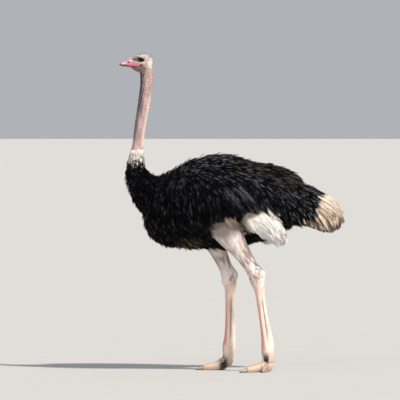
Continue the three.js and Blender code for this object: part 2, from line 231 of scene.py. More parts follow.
def along_bone(points, side, low, high):
    """How far up a bone each point lies and how far behind it, and the bone's length."""
    start, end = leg_place(side, low), leg_place(side, high)
    axis, away = unit(end - start), points - start
    return away @ axis, away @ np.array((0, axis[2], -axis[1])), np.linalg.norm(end - start)


def tendons(points, side):
    """Ridges (1) and hollows (-1) of the tendons that fan out of the hock into the drumstick."""
    up, behind, _ = along_bone(points, side, "hock", "knee")
    fan = 1 + 1.6 * np.maximum(up, 0) / 0.3
    spread = np.stack((points[:, 0] / fan, behind / fan, up), 1)
    return between(up, -0.03, 0.02, 0.12, 0.3) * noise(spread, (9, 9, 120), 5)


def eye_ring(points, sign, slope=LID_SLOPE):
    """Each point seen from an eye's middle, and how far out it lies: 1 on the edge of the opening."""
    away = points - EYE_CENTRE * (sign, 1, 1)
    return away, np.hypot(away[:, 1] / LID[0], (away[:, 2] + slope * away[:, 1]) / LID[1])


# ---------------------------------------------------------------- meshes

def placed(name, data):
    obj = bpy.data.objects.new(name, data)
    bpy.context.scene.collection.objects.link(obj)
    return obj


def hand_in(piece, material, slot, *nodes):
    """Gives a piece its finish and body, and hides the CAD nodes that it stands for; slot is not used."""
    piece.data.materials.append(material)
    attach(piece, "root")
    if nodes:
        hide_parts(*nodes)


def mesh_object(name, points, triangles):
    mesh = bpy.data.meshes.new(name)
    points = np.ascontiguousarray(points, dtype=np.float32)
    triangles = np.ascontiguousarray(triangles, dtype=np.int32)
    mesh.vertices.add(len(points))
    mesh.vertices.foreach_set("co", points.ravel())
    mesh.loops.add(triangles.size)
    mesh.loops.foreach_set("vertex_index", triangles.ravel())
    mesh.polygons.add(len(triangles))
    mesh.polygons.foreach_set("loop_start", np.arange(0, triangles.size, 3, dtype=np.int32))
    mesh.polygons.foreach_set("use_smooth", np.ones(len(triangles), dtype=bool))
    mesh.update(calc_edges=True)
    return placed(name, mesh)


def from_builder(name, builder):
    mesh = bpy.data.meshes.new(name)
    builder.to_mesh(mesh)
    builder.free()
    return placed(name, mesh)


def vertex_vectors(obj, field):
    vectors = np.empty(len(obj.data.vertices) * 3, dtype=np.float32)
    obj.data.vertices.foreach_get(field, vectors)
    return vectors.reshape(-1, 3).astype(float)


def points_of(obj):
    return vertex_vectors(obj, "co")


def normals_of(obj):
    return vertex_vectors(obj, "normal")


def triangles_of(obj):
    obj.data.calc_loop_triangles()
    triangles = np.empty(len(obj.data.loop_triangles) * 3, dtype=np.int32)
    obj.data.loop_triangles.foreach_get("vertices", triangles)
    return triangles.reshape(-1, 3)


def tree_of(obj):
    return BVHTree.FromPolygons(points_of(obj).tolist(), triangles_of(obj).tolist(), all_triangles=True)


def set_points(obj, points):
    obj.data.vertices.foreach_set("co", np.ascontiguousarray(points, dtype=np.float32).ravel())
    obj.data.update()


def set_attributes(obj, **marks):
    for name, values in marks.items():
        layer = obj.data.attributes.new(name, "FLOAT", "POINT")
        layer.data.foreach_set("value", np.ascontiguousarray(values, dtype=np.float32))


def settled(obj):
    """Applies the object's modifiers to its mesh."""
    graph = bpy.context.evaluated_depsgraph_get()
    mesh = bpy.data.meshes.new_from_object(obj.evaluated_get(graph))
    old = obj.data
    obj.modifiers.clear()
    obj.data = mesh
    bpy.data.meshes.remove(old)
    mesh.shade_smooth()
    return obj


def smoothed(obj, rounds):
    modifier = obj.modifiers.new("smooth", "SMOOTH")
    modifier.factor = 0.5
    modifier.iterations = rounds
    return settled(obj)


def fused(name, nodes, cell, rounds, grow=0.8 * MM, hip=None, floor=None):
    """One closed, even-grained surface over the solids of some nodes."""
    builder = bmesh.new()
    for node in nodes:
        builder.from_mesh(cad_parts[node].data)
    bmesh.ops.remove_doubles(builder, verts=builder.verts, dist=1e-5)
    builder.normal_update()
    for vertex in builder.verts:
        vertex.co += vertex.normal * grow
    if floor:  # only what lies above this height
        everything = builder.verts[:] + builder.edges[:] + builder.faces[:]
        cut = bmesh.ops.bisect_plane(
            builder, geom=everything, plane_co=(0, 0, floor), plane_no=(0, 0, -1), clear_outer=True
        )
        rim = [g for g in cut["geom_cut"] if isinstance(g, bmesh.types.BMEdge)]
        bmesh.ops.holes_fill(builder, edges=rim)
    if hip:  # an oval lump that joins a leg to the trunk
        centre, radii = hip
        place = Matrix.Translation(centre) @ Matrix.Diagonal((*radii, 1))
        bmesh.ops.create_icosphere(builder, subdivisions=4, radius=1, matrix=place)
    obj = from_builder(name, builder)
    remesh = obj.modifiers.new("fuse", "REMESH")
    remesh.mode = "VOXEL"
    remesh.voxel_size = cell
    return smoothed(settled(obj), rounds)


# ---------------------------------------------------------------- materials

class Value:
    """A node's number socket that takes part in Python sums; each sum adds its own Math node."""

    def __init__(self, tree, socket):
        self.tree = tree
        self.socket = socket

    def math(self, operation, *terms):
        made = self.tree.nodes.new("ShaderNodeMath")
        made.operation = operation
        for slot, term in zip(made.inputs, terms):
            feed(self.tree, slot, term)
        return Value(self.tree, made.outputs[0])

    def __add__(self, other):
        return self.math("ADD", self, other)

    def __sub__(self, other):
        return self.math("SUBTRACT", self, other)

    def __rsub__(self, other):
        return self.math("SUBTRACT", other, self)

    def __mul__(self, other):
        return self.math("MULTIPLY", self, other)

    __radd__ = __add__
    __rmul__ = __mul__


def feed(tree, slot, value):
    """Links a value to a node's input, or sets a plain number, vector or colour on it."""
    if isinstance(value, Value):
        tree.links.new(value.socket, slot)
    else:
        slot.default_value = value


def linear(red, green, blue):
    """A colour given as 0-255 display values, as the shader wants it."""
    parts = [c / 255 for c in (red, green, blue)]
    return (*[c / 12.92 if c <= 0.04045 else ((c + 0.055) / 1.055) ** 2.4 for c in parts], 1.0)


class Finish:
    """One procedural material: its Principled shader, and one method that makes any other node."""

    def __init__(self, name, **plain):
        self.material = bpy.data.materials.new(name)
        self.material.use_nodes = True
        self.tree = self.material.node_tree
        self.shader = self.tree.nodes["Principled BSDF"]
        for socket, value in plain.items():
            self.shader.inputs[socket.replace("_", " ")].default_value = value
        self.where = self.node("ShaderNodeNewGeometry", {}, "Position")
        self.y, self.z = [self.node("ShaderNodeSeparateXYZ", {0: self.where}, axis) for axis in "YZ"]

    def node(self, kind, inputs, out=0, **settings):
        """Makes a node; its inputs are named, or counted where names repeat."""
        made = self.tree.nodes.new(kind)
        for key, value in settings.items():
            setattr(made, key, value)
        for key, value in inputs.items():
            feed(self.tree, made.inputs[key], value)
        return Value(self.tree, made.outputs[out])

    def set(self, socket, value):
        self.tree.links.new(value.socket, self.shader.inputs[socket])

    def mark(self, name):
        return self.node("ShaderNodeAttribute", {}, "Fac", attribute_name=name)

    def step(self, value, low, high):
        limits = {"Value": value, "From Min": low, "From Max": high}
        return self.node("ShaderNodeMapRange", limits, interpolation_type="SMOOTHSTEP")

    def fall(self, value, low, high):
        return 1 - self.step(value, low, high)

    def stretched(self, stretch):
        return self.node("ShaderNodeVectorMath", {0: self.where, 1: stretch}, operation="MULTIPLY")

    def noise(self, scale, detail=3.0, roughness=0.55, stretch=None):
        place = self.stretched(stretch) if stretch else self.where
        inputs = {"Vector": place, "Scale": scale, "Detail": detail, "Roughness": roughness}
        return self.node("ShaderNodeTexNoise", inputs)

    def cells(self, scale, feature):
        inputs = {"Vector": self.stretched((1.0, 1.0, 0.8)), "Scale": scale}
        return self.node("ShaderNodeTexVoronoi", inputs, feature=feature)

    def blend(self, share, first, second):
        """A colour that goes from first to second as share goes from 0 to 1."""
        return self.node("ShaderNodeMix", {0: share, 6: first, 7: second}, 2, data_type="RGBA")

    def over(self, below, share, red, green, blue):
        """A colour laid over another one by a share, which may be the name of a mark on the mesh."""
        share = self.mark(share) if isinstance(share, str) else share
        return self.blend(share, below, linear(red, green, blue))

    def bump(self, height, strength, distance):
        inputs = {"Height": height, "Strength": strength, "Distance": distance}
        self.set("Normal", self.node("ShaderNodeBump", inputs))


BLACK = linear(5, 5, 8)
PLUME_WHITE = linear(255, 252, 248)
PLUME_BUFF = linear(238, 210, 178)


def plumage_colour(finish, lightness, each):
    """The body's markings, the same for the skin and for the coat over it. The second argument lays painted
    highlights (grey-blue glints) over the black, and brings out the brown of the back where they fall.
    """
    y, z = finish.y, finish.z
    mottle = finish.noise(30, 2, 0.5)
    # painted highlights: grey-blue glints laid as colour on the black feathers
    black = finish.over(BLACK, lightness, 124, 126, 134)
    on_back = finish.step(z + y * 0.25, 1.36, 1.46) * finish.step(y, -0.1, 0.06) * finish.fall(y, 0.36, 0.5)
    rump = finish.step(y, 0.1, 0.3) * finish.step(z, 1.15, 1.35) * 0.45
    brown = (on_back + rump) * finish.step(mottle * 0.4 + each * 0.6, 0.4, 0.65)
    # the brown of the back and rump is real, but it shows only where the painted glints fall
    body = finish.over(black, finish.step(brown * lightness, 0.1, 0.9), 96, 81, 74)
    fringe = finish.step(y, -0.42, -0.34) * finish.fall(y, -0.25, -0.18) * finish.fall(z, 0.9, 0.95)
    body = finish.over(body, fringe * finish.step(each, 0.5, 0.8) * 0.7, 150, 124, 98)
    ragged = z + (mottle - 0.5) * 0.04 + (each - 0.5) * 0.1
    collar = finish.step(ragged, 1.46, 1.49) * finish.fall(y, -0.57, -0.53)
    clean = finish.step(mottle * 0.5 + each * 0.5, 0.25, 0.6)
    return finish.blend(collar, body, finish.over(linear(204, 192, 182), clean, 242, 234, 226))


def black_plumage():
    finish = Finish("black plumage", Specular_IOR_Level=0.07)
    tuft = finish.mark("tuft")
    fleck = finish.noise(75, 2, 0.5)
    clump = finish.noise(16, 2, 0.5)
    # painted sunlight: the black is painted lighter higher up the body and towards the tail, where the sun
    # falls
    sunny = finish.step(finish.z + finish.y * 0.5, 1.08, 1.5)
    # painted highlights: chosen tufts are painted as glints towards their tips, more where the sun falls and
    # where tint is high
    chosen = finish.step(tuft + clump * 0.25 + finish.mark("tint") * 0.3 + sunny * 0.16, 0.84, 1.06)
    light = chosen * finish.step(finish.mark("along"), 0.1, 0.7) * finish.step(fleck, 0.2, 0.5)
    finish.set("Base Color", plumage_colour(finish, light * (0.45 + sunny * 0.55), tuft))
    finish.set("Roughness", 0.42 + fleck * 0.25)
    return finish.material


def pale_plumage(name, tinted, white=PLUME_WHITE, buff=PLUME_BUFF, low=0.0):
    """White plumes with buff and brown tufts; the second argument browns the roots as painted shade under the
    plumes above, and `low` browns what hangs down.
    """
    finish = Finish(name, Specular_IOR_Level=0.3, Sheen_Weight=0.25, Sheen_Roughness=0.5)
    streaks = finish.noise(60, 3, 0.6)
    # painted shade: the roots are browned where the plumes above shade them
    root = finish.fall(finish.mark("along"), 0.1, 0.5) * tinted
    hanging = finish.fall(finish.z - finish.y * 0.3, 0.74, 1.02) * low
    each = finish.mark("tint") + (finish.mark("tuft") - 0.5) * (0.5 + low) + root + hanging
    colour = finish.blend(finish.step(each + (streaks - 0.5) * 0.5, 0.3, 0.95), white, buff)
    brown = finish.step(each + (streaks - 0.5) * 0.7, 0.85, 1.25)
    finish.set("Base Color", finish.over(colour, brown, 112, 80, 52))
    finish.set("Roughness", 0.7 + streaks * 0.2)
    return finish.material


def down_finish():
    finish = Finish("down", Specular_IOR_Level=0.3, Roughness=0.8)
    colour = finish.over(linear(222, 208, 196), finish.step(finish.mark("tuft"), 0, 1), 168, 150, 142)
    # tint darkens the down: painted shade on the front of the neck, and the own dark of crown wisps and
    # lashes
    finish.set("Base Color", finish.over(colour, "tint", 58, 48, 46))
    return finish.material


def skin_finish():
    finish = Finish("skin", Specular_IOR_Level=0.3)
    over, step, mark = finish.over, finish.step, finish.mark
    z = finish.z
    shank = mark("shank")
    feathered = mark("feathered")
    fine = finish.noise(210, 3, 0.6)
    broad = finish.noise(22, 3, 0.6, (1.0, 1.0, 0.28))
    red = finish.noise(60, 2, 0.5, (1.0, 1.0, 0.2))
    stipple = finish.cells(115, "F1")
    dots = finish.fall(stipple, 0.12, 0.42) * step(fine, 0.3, 0.6)
    neck = over(linear(198, 169, 166), step(broad, 0.35, 0.7), 168, 136, 134)
    neck = over(neck, step(red, 0.55, 0.75) * 0.35, 176, 130, 126)
    neck = over(neck, dots * (0.85 - step(z, 1.95, 2.08) * 0.4), 98, 72, 76)
    # painted shade: the neck's crease is painted darker red
    neck = over(neck, mark("crease") * 0.75, 156, 88, 82)
    # painted highlight: the back of the neck is painted pale where the sun from behind rims it
    neck = over(neck, mark("neck_back") * 0.7, 250, 232, 208)
    head = over(neck, step(z, 2.1, 2.13) * 0.6, 196, 172, 160)
    head = over(head, "crown", 194, 186, 190)
    # pale patches; the one over the ear is the ear coverts' own pale colour and partly painted sunlight
    head = over(head, "cheek", 255, 246, 230)
    # painted shade under the jaw, with painted shadow lines along the jaw and under the ear
    head = over(head, mark("throat") * (0.45 + fine), 104, 84, 66)
    head = over(head, mark("pink") * step(fine, 0.2, 0.7), 230, 116, 140)
    head = over(head, mark("lore") * (0.45 + fine), 58, 44, 50)
    head = over(head, "gape", 104, 32, 36)
    head = over(head, "corner", 56, 32, 32)
    head = over(head, "lid", 36, 24, 30)
    # painted shade: the front of the neck, turned away from the sun, is painted dark grey
    head = over(head, "neck_front", 66, 60, 72)
    patches = finish.noise(16, 4, 0.6, (1.0, 1.0, 0.45))
    thigh = over(linear(240, 228, 222), step(patches, 0.38, 0.62), 200, 180, 172)
    # painted shade: the top of the thigh, in the wing's shadow, and its forward-facing side are painted
    # darker
    thigh = over(thigh, mark("dim") * 0.85, 124, 108, 106)
    # painted shade in the hollows between the tendons
    thigh = over(thigh, mark("tendon") * 0.6, 112, 94, 90)
    shin = over(linear(246, 228, 214), step(patches, 0.35, 0.65), 228, 198, 182)
    shin = over(shin, mark("front") * (0.8 - step(z, 0.36, 0.52) * 0.6), 222, 132, 126)
    shin = over(shin, finish.fall(z, 0.05, 0.2) * 0.9, 200, 177, 158)
    limb = finish.blend(shank, thigh, shin)
    # painted shade along the groove behind the shank bone
    limb = over(limb, mark("groove") * 0.75, 92, 70, 64)
    # painted shade: near-black patches on the ankle joints
    limb = over(limb, mark("ankle") * step(fine, 0.15, 0.45), 26, 24, 24)
    plumage = plumage_colour(finish, finish.noise(90) * 0.15, broad)
    # painted shade: the skin under the tail and under the white plumes is browned where it shows in the gaps
    # between the locks
    plumage = over(plumage, "tail", 84, 60, 42)
    plumage = over(plumage, "white", 190, 166, 150)
    finish.set("Base Color", finish.blend(feathered, finish.blend(mark("leg"), head, limb), plumage))
    scale_edges = step(finish.cells(150, "DISTANCE_TO_EDGE"), 0.0, 0.09)
    wrinkles = finish.noise(130, 4, 0.65, (0.6, 0.6, 2.2))
    grain = wrinkles * 0.7 + fine * 0.5 + finish.fall(stipple, 0.05, 0.3) * 0.35
    finish.bump(grain * (1 - shank) + scale_edges * shank * 0.9, 0.55, 0.0012)
    finish.set("Roughness", 0.5 + fine * 0.25 + feathered * 0.3)
    return finish.material


def horn_finish(name, pale, dark, tip, grain):
    finish = Finish(name, Specular_IOR_Level=0.5)
    cloud = finish.noise(60, 3, 0.6)
    lines = finish.noise(240, 2, 0.5, (1.0, 0.25, 1.0))
    shade = finish.step(cloud * 0.9 + finish.mark("shade") * 0.6, 0.5, 1.15)
    colour = finish.over(linear(*pale), shade, *dark)
    colour = finish.over(colour, finish.step(lines, 0.55, 0.8) * grain, *dark)
    colour = finish.over(colour, "edge", 92, 44, 38)
    colour = finish.over(colour, finish.mark("end") * (0.75 + cloud * 0.4), *tip)
    colour = finish.over(colour, finish.mark("lore") * (0.5 + cloud), 70, 50, 58)
    # painted shade: the nostril is painted dark inside
    finish.set("Base Color", finish.over(colour, "pit", 52, 8, 24))
    finish.set("Roughness", 0.34 + cloud * 0.25)
    finish.bump(lines * 0.6 + cloud * 0.4, 0.3, 0.0006)
    return finish.material


def eye_finish():
    finish = Finish("eye", Specular_IOR_Level=0.2)
    turn = finish.mark("turn")
    rays = finish.noise(260, 3, 0.6)
    iris = finish.over(linear(24, 12, 12), rays, 48, 28, 24)
    middle = finish.blend(finish.step(turn, 0.34, 0.38), linear(5, 4, 5), iris)
    finish.set("Base Color", finish.over(middle, finish.step(turn, 0.66, 0.74), 52, 38, 34))
    finish.set("Roughness", 0.06 + rays * 0.06)
    return finish.material


def scute_finish():
    finish = Finish("leg scutes", Specular_IOR_Level=0.45)
    wear = finish.noise(120, 3, 0.6)
    share = finish.mark("tuft") * 0.6 + wear * 0.3
    pink = finish.over(linear(226, 150, 140), share, 206, 122, 114)
    tan = finish.over(linear(196, 172, 150), share, 170, 144, 122)
    bone = finish.over(linear(232, 208, 194), share, 206, 174, 160)
    colour = finish.blend(finish.step(finish.z, 0.1, 0.2), tan, pink)
    finish.set("Base Color", finish.blend(finish.step(finish.z, 0.36, 0.52) * 0.75, colour, bone))
    finish.set("Roughness", 0.38 + wear * 0.25)
    finish.bump(wear, 0.3, 0.0006)
    return finish.material


# ---------------------------------------------------------------- the skin

def from_drumsticks(points, chosen):
    """Distance of the chosen points from the drumsticks; the others count as far away."""
    trees = [tree_of(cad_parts[f"{side}_drumstick"]) for side in SIDES]
    away = np.full(len(points), np.inf)
    away[chosen] = [min(tree.find_nearest(p)[3] for tree in trees) for p in points[chosen].tolist()]
    return away


def coat_depth(points):
    """How far the skin lies under the feather tips: nothing on bare parts, most on the body."""
    x, y, z = points.T
    on_neck = (y < NECK_Y) & (z > 1.32)
    up_neck = 1 - ramp(z, 1.38, COLLAR_TOP)
    oval = ((y + set_forward(points, THIGH_FORWARD) + 0.035) / 0.13) ** 2 + ((z - 1.0) / 0.058) ** 2
    over_thigh = (1 - ramp(oval, 0.6, 1.3)) * (np.abs(x) > 0.15)
    in_tail = ramp(y, 0.48, 0.62)
    body = 14 * MM + 12 * MM * in_tail + 5 * MM * plume_share(points) + 26 * MM * over_thigh
    return np.where(on_neck, 1.5 * MM + 17 * MM * up_neck, body)


def make_body():
    body = fused("body", BODY_NODES, 9.5 * MM, 4)
    points, normals = points_of(body), normals_of(body)
    folds = 6 * MM * noise(points, (90, 110, 60), 1) + 3 * MM * noise(points, 40, 2)
    collar = ramp(points[:, 2], 1.46, 1.53) * (points[:, 1] < NECK_Y)
    push = folds * (1 - collar) - 8 * MM * collar - coat_depth(points)
    set_points(body, points + normals * push[:, None])
    return smoothed(body, 2)


def make_leg(side):
    knee = leg_place(side, "knee")
    hip = ((SIDES[side] * 0.13, knee[1] + 0.02, knee[2] - 0.04), (0.106, 0.1, 0.09))
    leg = fused(f"{side}_leg", [f"{side}_{part}" for part in LEG_PARTS], 3.8 * MM, 7, hip=hip)
    points, normals = points_of(leg), normals_of(leg)
    z = points[:, 2]
    up, behind, length = along_bone(points, side, "toe_joint", "hock")
    # a groove between the shank's bone and the tendon behind it, on both faces
    groove = bell(behind - 12 * MM, 5 * MM) * between(up / length, 0.1, 0.3, 0.78, 0.9)
    push = -0.6 * MM - 5.0 * MM * groove * (np.abs(normals[:, 0]) > 0.45)
    push += 3.4 * MM * tendons(points, side)
    push += 2.5 * MM * noise(points, 75, 6) * ramp(z, 0.7, 0.9)
    # folds round the hock and over the toe joint
    round_hock = bell(z - leg_place(side, "hock")[2], 38 * MM)
    push += round_hock * 1.6 * MM * noise(points, (60, 60, 9), 7)
    round_joint = bell(z - leg_place(side, "toe_joint")[2] + 0.02, 35 * MM)
    push += round_joint * 1.3 * MM * noise(points, (50, 50, 9), 8)
    points = points + normals * (push * ramp(z, 1.5 * MM, 8 * MM))[:, None]
    points[:, 2] = np.maximum(points[:, 2], 0.0)
    set_points(leg, points)
    return leg


def make_head_and_neck():
    nodes = ["head", "left_eye", "right_eye", "upper_bill", "lower_bill"]
    nodes += ["neck_upper", "neck_lower", "neck_base"]
    head = fused("head_and_neck", nodes, 2.9 * MM, 8, floor=1.458)
    builder = bmesh.new()
    builder.from_mesh(head.data)
    edges = [e for e in builder.edges if all(v.co.z > 2.093 for v in e.verts)]
    bmesh.ops.subdivide_edges(builder, edges=edges, cuts=1, use_grid_fill=True, smooth=0.0)
    bmesh.ops.triangulate(builder, faces=builder.faces[:])
    builder.to_mesh(head.data)
    builder.free()
    smoothed(head, 2)
    points, normals = points_of(head), normals_of(head)
    x, y, z = points.T
    aside = np.abs(x)
    push = 0.4 * MM - coat_depth(points) * (z < COLLAR_TOP)
    # neck: long shallow folds, fine rings and one crease
    on_neck = between(z, 1.52, 1.58, 2.07, 2.12)
    push += on_neck * 1.5 * MM * noise(points, (14, 14, 90), 2)
    push += on_neck * 0.7 * MM * noise(points, (30, 30, 6), 3)
    push -= 2.2 * MM * streak(points, NECK_CREASE, 3.5 * MM) * (aside > 0.012)
    # under the horn of the bill the skin lies deeper
    in_bill = ramp(-y, 0.69, 0.705)
    push -= (2.2 + 3.3 * between(-y, 0.71, 0.725, 0.75, 0.765)) * MM * in_bill
    # brow, gape with its lips, and the ear in its rim
    push += 2.6 * MM * spot(points, (-0.642, 2.215), (0.03, 0.009)) * (aside > 0.018)
    mouth, _ = along_line(points, GAPE_LINE)
    ear = np.hypot(y + 0.579, z - 2.158)
    lips = bell(mouth - 5 * MM, 3 * MM) - 2.6 * bell(mouth, 2.2 * MM)
    ear_rim = 1.3 * bell(ear - 9 * MM, 3.5 * MM) - 3.2 * bell(ear, 5 * MM)
    push += MM * (lips + ear_rim) * (aside > 0.015)
    push += ramp(z, 2.09, 2.12) * (1 - in_bill) * 0.5 * MM * noise(points, 9, 4)
    points = points + normals * push[:, None]
    # lids: the skin is drawn onto the eyeball round the opening, and sinks behind it inside
    for sign in SIDES.values():
        away, ring = eye_ring(points, sign)
        side_on = away[:, 0] * sign > 2 * MM
        reach = np.sqrt(np.maximum(1 - (away[:, 1:] ** 2).sum(1) / LID_RADIUS**2, 0.0))
        lid_x = EYE_CENTRE[0] + LID_RADIUS * reach + bell(ring - 1.12, 0.13) * 0.9 * MM
        pull = (1 - ramp(ring, 1.15, 1.6)) * side_on
        crease = bell(ring - 1.48, 0.1) * side_on
        points[:, 0] += pull * (sign * lid_x - points[:, 0]) - sign * crease * 1.2 * MM
        opening = (1 - ramp(ring, 0.86, 1.0)) * side_on
        sunk_x = EYE_CENTRE[0] + (EYE_RADIUS - 5 * MM) * reach
        points[:, 0] += opening * (sign * sunk_x - points[:, 0])
    set_points(head, points)
    return head


def make_skin():
    """Body, neck and legs joined into one closed surface."""
    body = make_body()
    parts = [make_head_and_neck(), make_leg("left"), make_leg("right")]
    for part in parts:
        join = body.modifiers.new(part.name, "BOOLEAN")
        join.operation = "UNION"
        join.solver = "MANIFOLD"
        join.object = part
    settled(body)
    triangles = triangles_of(body)
    _, kind, count = np.unique(np.sort(triangles, 1), axis=0, return_inverse=True, return_counts=True)
    single = count[kind.ravel()] == 1  # the join leaves a few slivers doubled back on themselves
    skin = mesh_object("skin", points_of(body), triangles[single])
    for part in (body, *parts):
        bpy.data.objects.remove(part)
    return skin


def feathered_share(points):
    """1 where feathers cover the skin, 0 on the bare head, neck and legs."""
    x, y, z = points.T
    ragged = z + 7 * MM * noise(points, (9, 9, 30), 21)
    share = 1 - ramp(ragged, COLLAR_TOP - 0.008, COLLAR_TOP + 0.006)
    near_thigh = (z > 0.8) & (z < 1.12) & (np.abs(x) > 0.03)
    share *= ramp(from_drumsticks(points, near_thigh), 6 * MM, 14 * MM)
    share[(z < 0.8) | over_bare_thigh(points)] = 0
    return share


def mark_skin(skin):
    """Marks how far each patch of colour covers the skin at each vertex."""
    points, normals = points_of(skin), normals_of(skin)
    x, y, z = points.T
    front, groove, ridges, lid = np.zeros((4, len(points)))
    for side, sign in SIDES.items():
        up, behind, length = along_bone(points, side, "toe_joint", "hock")
        this_leg = (x * sign > 0) & (z < 0.7)
        before = 1 - ramp(behind, -17 * MM, -9 * MM)
        front += between(up / length, 0.05, 0.15, 0.85, 0.95) * this_leg * before
        # painted shade along the groove between bone and tendon
        groove += bell(behind - 12 * MM, 5 * MM) * between(up / length, 0.12, 0.3, 0.68, 0.82) * this_leg
        ridges += np.where(x * sign > 0, tendons(points, side), 0)
        away, ring = eye_ring(points, sign)
        lid += (1 - ramp(ring, 1.12, 1.34)) * (away[:, 0] * sign > 0)
    # painted shade on the joint of each foot
    near_ankle = spot(points, (0.238, 0.072), (0.019, 0.055), 4) * (x > STANCE - 0.01)
    far_ankle = spot(points, (-0.06, 0.045), (0.033, 0.045), 4) * (x < 0) * (x > -STANCE)
    on_head = ramp(z, 2.098, 2.118)
    far, place = along_line(points, LORE_LINE)
    lore = 1.3 * bell(far, (8 + 8 * place**2) * MM) + 0.5 * streak(points, BROW_LINE, 4 * MM)
    # the ear patch is partly painted sunlight
    cheek = spot(points, (-0.577, 2.163), (0.018, 0.026)) + 0.8 * spot(points, (-0.645, 2.169), (0.03, 0.006))
    cheek += 0.5 * spot(points, (-0.64, 2.216), (0.035, 0.008))
    # painted shade under the jaw and painted shadow along the jaw and under the ear
    throat = (1 - ramp(z, 2.125, 2.148)) * ramp(-y, 0.585, 0.62) * on_head
    throat += streak(points, JAW_LINE, 8 * MM) + 0.6 * streak(points, EAR_LINE, 4 * MM)
    # painted shade down the front of the neck, widest half-way up
    wide = 0.45 * bell(z - 1.83, 0.11)
    neck_front = ramp(-normals[:, 1], 0.4 - wide, 0.72 - wide) * between(z, 1.58, 1.66, 2.1, 2.125)
    # painted highlight on the neck's back-facing side
    neck_back = ramp(normals[:, 1], 0.45, 0.9) * between(z, 1.56, 1.6, 1.9, 2.0) * (y < -0.4)
    # painted shade on the forward-facing side of the legs and the top of the thighs
    facing_forward = ramp(-normals[:, 1], 0.1, 0.8) * ramp(z, 0.6, 0.76)
    ragged = z + 0.02 * noise(points, 45, 31) - 0.15 * y
    pink = 0.6 * streak(points, LIP_LINE, 11 * MM, 4) * (1 - ramp(y, -0.66, -0.635))
    pink = np.maximum(pink, 1.4 * streak(points, PINK_LINE, 7.5 * MM, 4))
    bill_base = (1 - ramp(y, -0.7, -0.672)) * ramp(z, 2.142, 2.15)
    bill_base *= 0.75 - 0.5 * ramp(z, 2.168, 2.185)
    corner = 1.3 * spot(points, (-0.64, 2.15), (0.01, 0.009)) + spot(points, (-0.686, 2.141), (0.012, 0.0055))
    set_attributes(
        skin,
        feathered=feathered_share(points),
        white=plume_share(points),
        tail=ramp(y - tail_edge(z), -0.01, 0.03),
        leg=(z < 1.1) & (y > NECK_Y),
        shank=1 - ramp(z, 0.58, 0.64),
        front=front,
        groove=groove,
        ankle=near_ankle + far_ankle,
        crown=ramp(z, 2.19, 2.215) * 0.8,
        lore=np.clip(lore, 0, 1) * on_head,
        cheek=np.clip(cheek, 0, 1) * on_head,
        throat=np.clip(throat, 0, 1),
        neck_front=neck_front * (0.6 + 0.4 * ramp(z, 1.75, 2.0)),
        crease=streak(points, NECK_CREASE, 5 * MM) * (y < NECK_Y),
        neck_back=neck_back,
        # painted shade in the tendon hollows
        tendon=ramp(-ridges, 0.16, 0.36) * (z < 0.95),
        dim=np.maximum(ramp(ragged, 0.9, 0.99), 0.65 * facing_forward),
        gape=streak(points, GAPE_LINE, 3.5 * MM + 3 * MM * bell(y + 0.689, 0.012)) * on_head,
        pink=np.maximum(pink, bill_base) * on_head,
        lid=lid * on_head,
        corner=np.clip(corner, 0, 1) * (np.abs(x) > 0.012),
    )


# ---------------------------------------------------------------- feathers

def lie_at(points):
    """The coat's direction and feather length at each point."""
    gap = points[:, None, 1:] - LIE[None, :, :2] * MM
    weight = 1 / ((gap**2).sum(2) + 0.03**2) ** 2
    weight /= weight.sum(1, keepdims=True)
    angle = np.radians(LIE[:, 2])
    direction = np.stack((np.zeros(len(points)), weight @ np.cos(angle), -(weight @ np.sin(angle))), 1)
    return unit(direction), weight @ LIE[:, 3] * MM


def scatter(skin, wanted, count, rng):
    """Random places on the skin, spread by area and thinned by a share given at each vertex."""
    triangles = triangles_of(skin)
    corners = points_of(skin)[triangles]
    area = np.linalg.norm(np.cross(corners[:, 1] - corners[:, 0], corners[:, 2] - corners[:, 0]), axis=1)
    area *= wanted[triangles].mean(1)
    pick = rng.choice(len(triangles), count, p=area / area.sum())
    a, b = rng.random(count), rng.random(count)
    over = a + b > 1
    a[over], b[over] = 1 - a[over], 1 - b[over]
    c = corners[pick]
    return c[:, 0] + a[:, None] * (c[:, 1] - c[:, 0]) + b[:, None] * (c[:, 2] - c[:, 0])


def from_side(tree, sign, y, z):
    """Places on the skin under points given in side view."""
    hits = [tree.ray_cast(Vector((sign * 0.6, a, b)), Vector((-sign, 0, 0)), 0.6)[0] for a, b in zip(y, z)]
    return np.array([hit for hit in hits if hit is not None])


def ground_under(tree, places):
    """The skin's nearest place to each of some places, and its normal there."""
    hits = [tree.find_nearest(p) for p in places.tolist()]
    return np.array([hit[0] for hit in hits]), np.array([hit[1] for hit in hits])


def laid_paths(tree, roots, length, lift, rng, steps, wander):
    """Feather middle lines that start at the roots, follow the lie of the coat and rise to their tips."""
    place = roots
    line, ups = [place], []
    heading = unit(lie_at(place)[0] + rng.normal(0, wander, place.shape))
    for step in range(steps):
        _, normal = ground_under(tree, place)
        ups.append(normal)
        heading = unit(0.7 * heading + 0.3 * lie_at(place)[0])
        sunk = np.minimum((heading * normal).sum(1), 0)
        heading = unit(heading - sunk[:, None] * normal)
        place = place + heading * (length / steps)[:, None]
        ground, normal = ground_under(tree, place)
        height = ((place - ground) * normal).sum(1)
        want = lift * ((step + 1) / steps) ** 0.8
        change = np.where(height < want, want - height, -0.35 * (height - want))
        place = place + normal * change[:, None]
        line.append(place)
    ups.append(normal)
    return np.stack(line, 1), np.stack(ups, 1)


def hairs(roots, start, turn, length, power=2.0):
    """Middle lines of short hairs that set out along start and bend by turn."""
    t = np.linspace(0, 1, 4)[None, :, None]
    return roots[:, None] + (start[:, None] * t + turn[:, None] * t**power) * length[:, None, None]


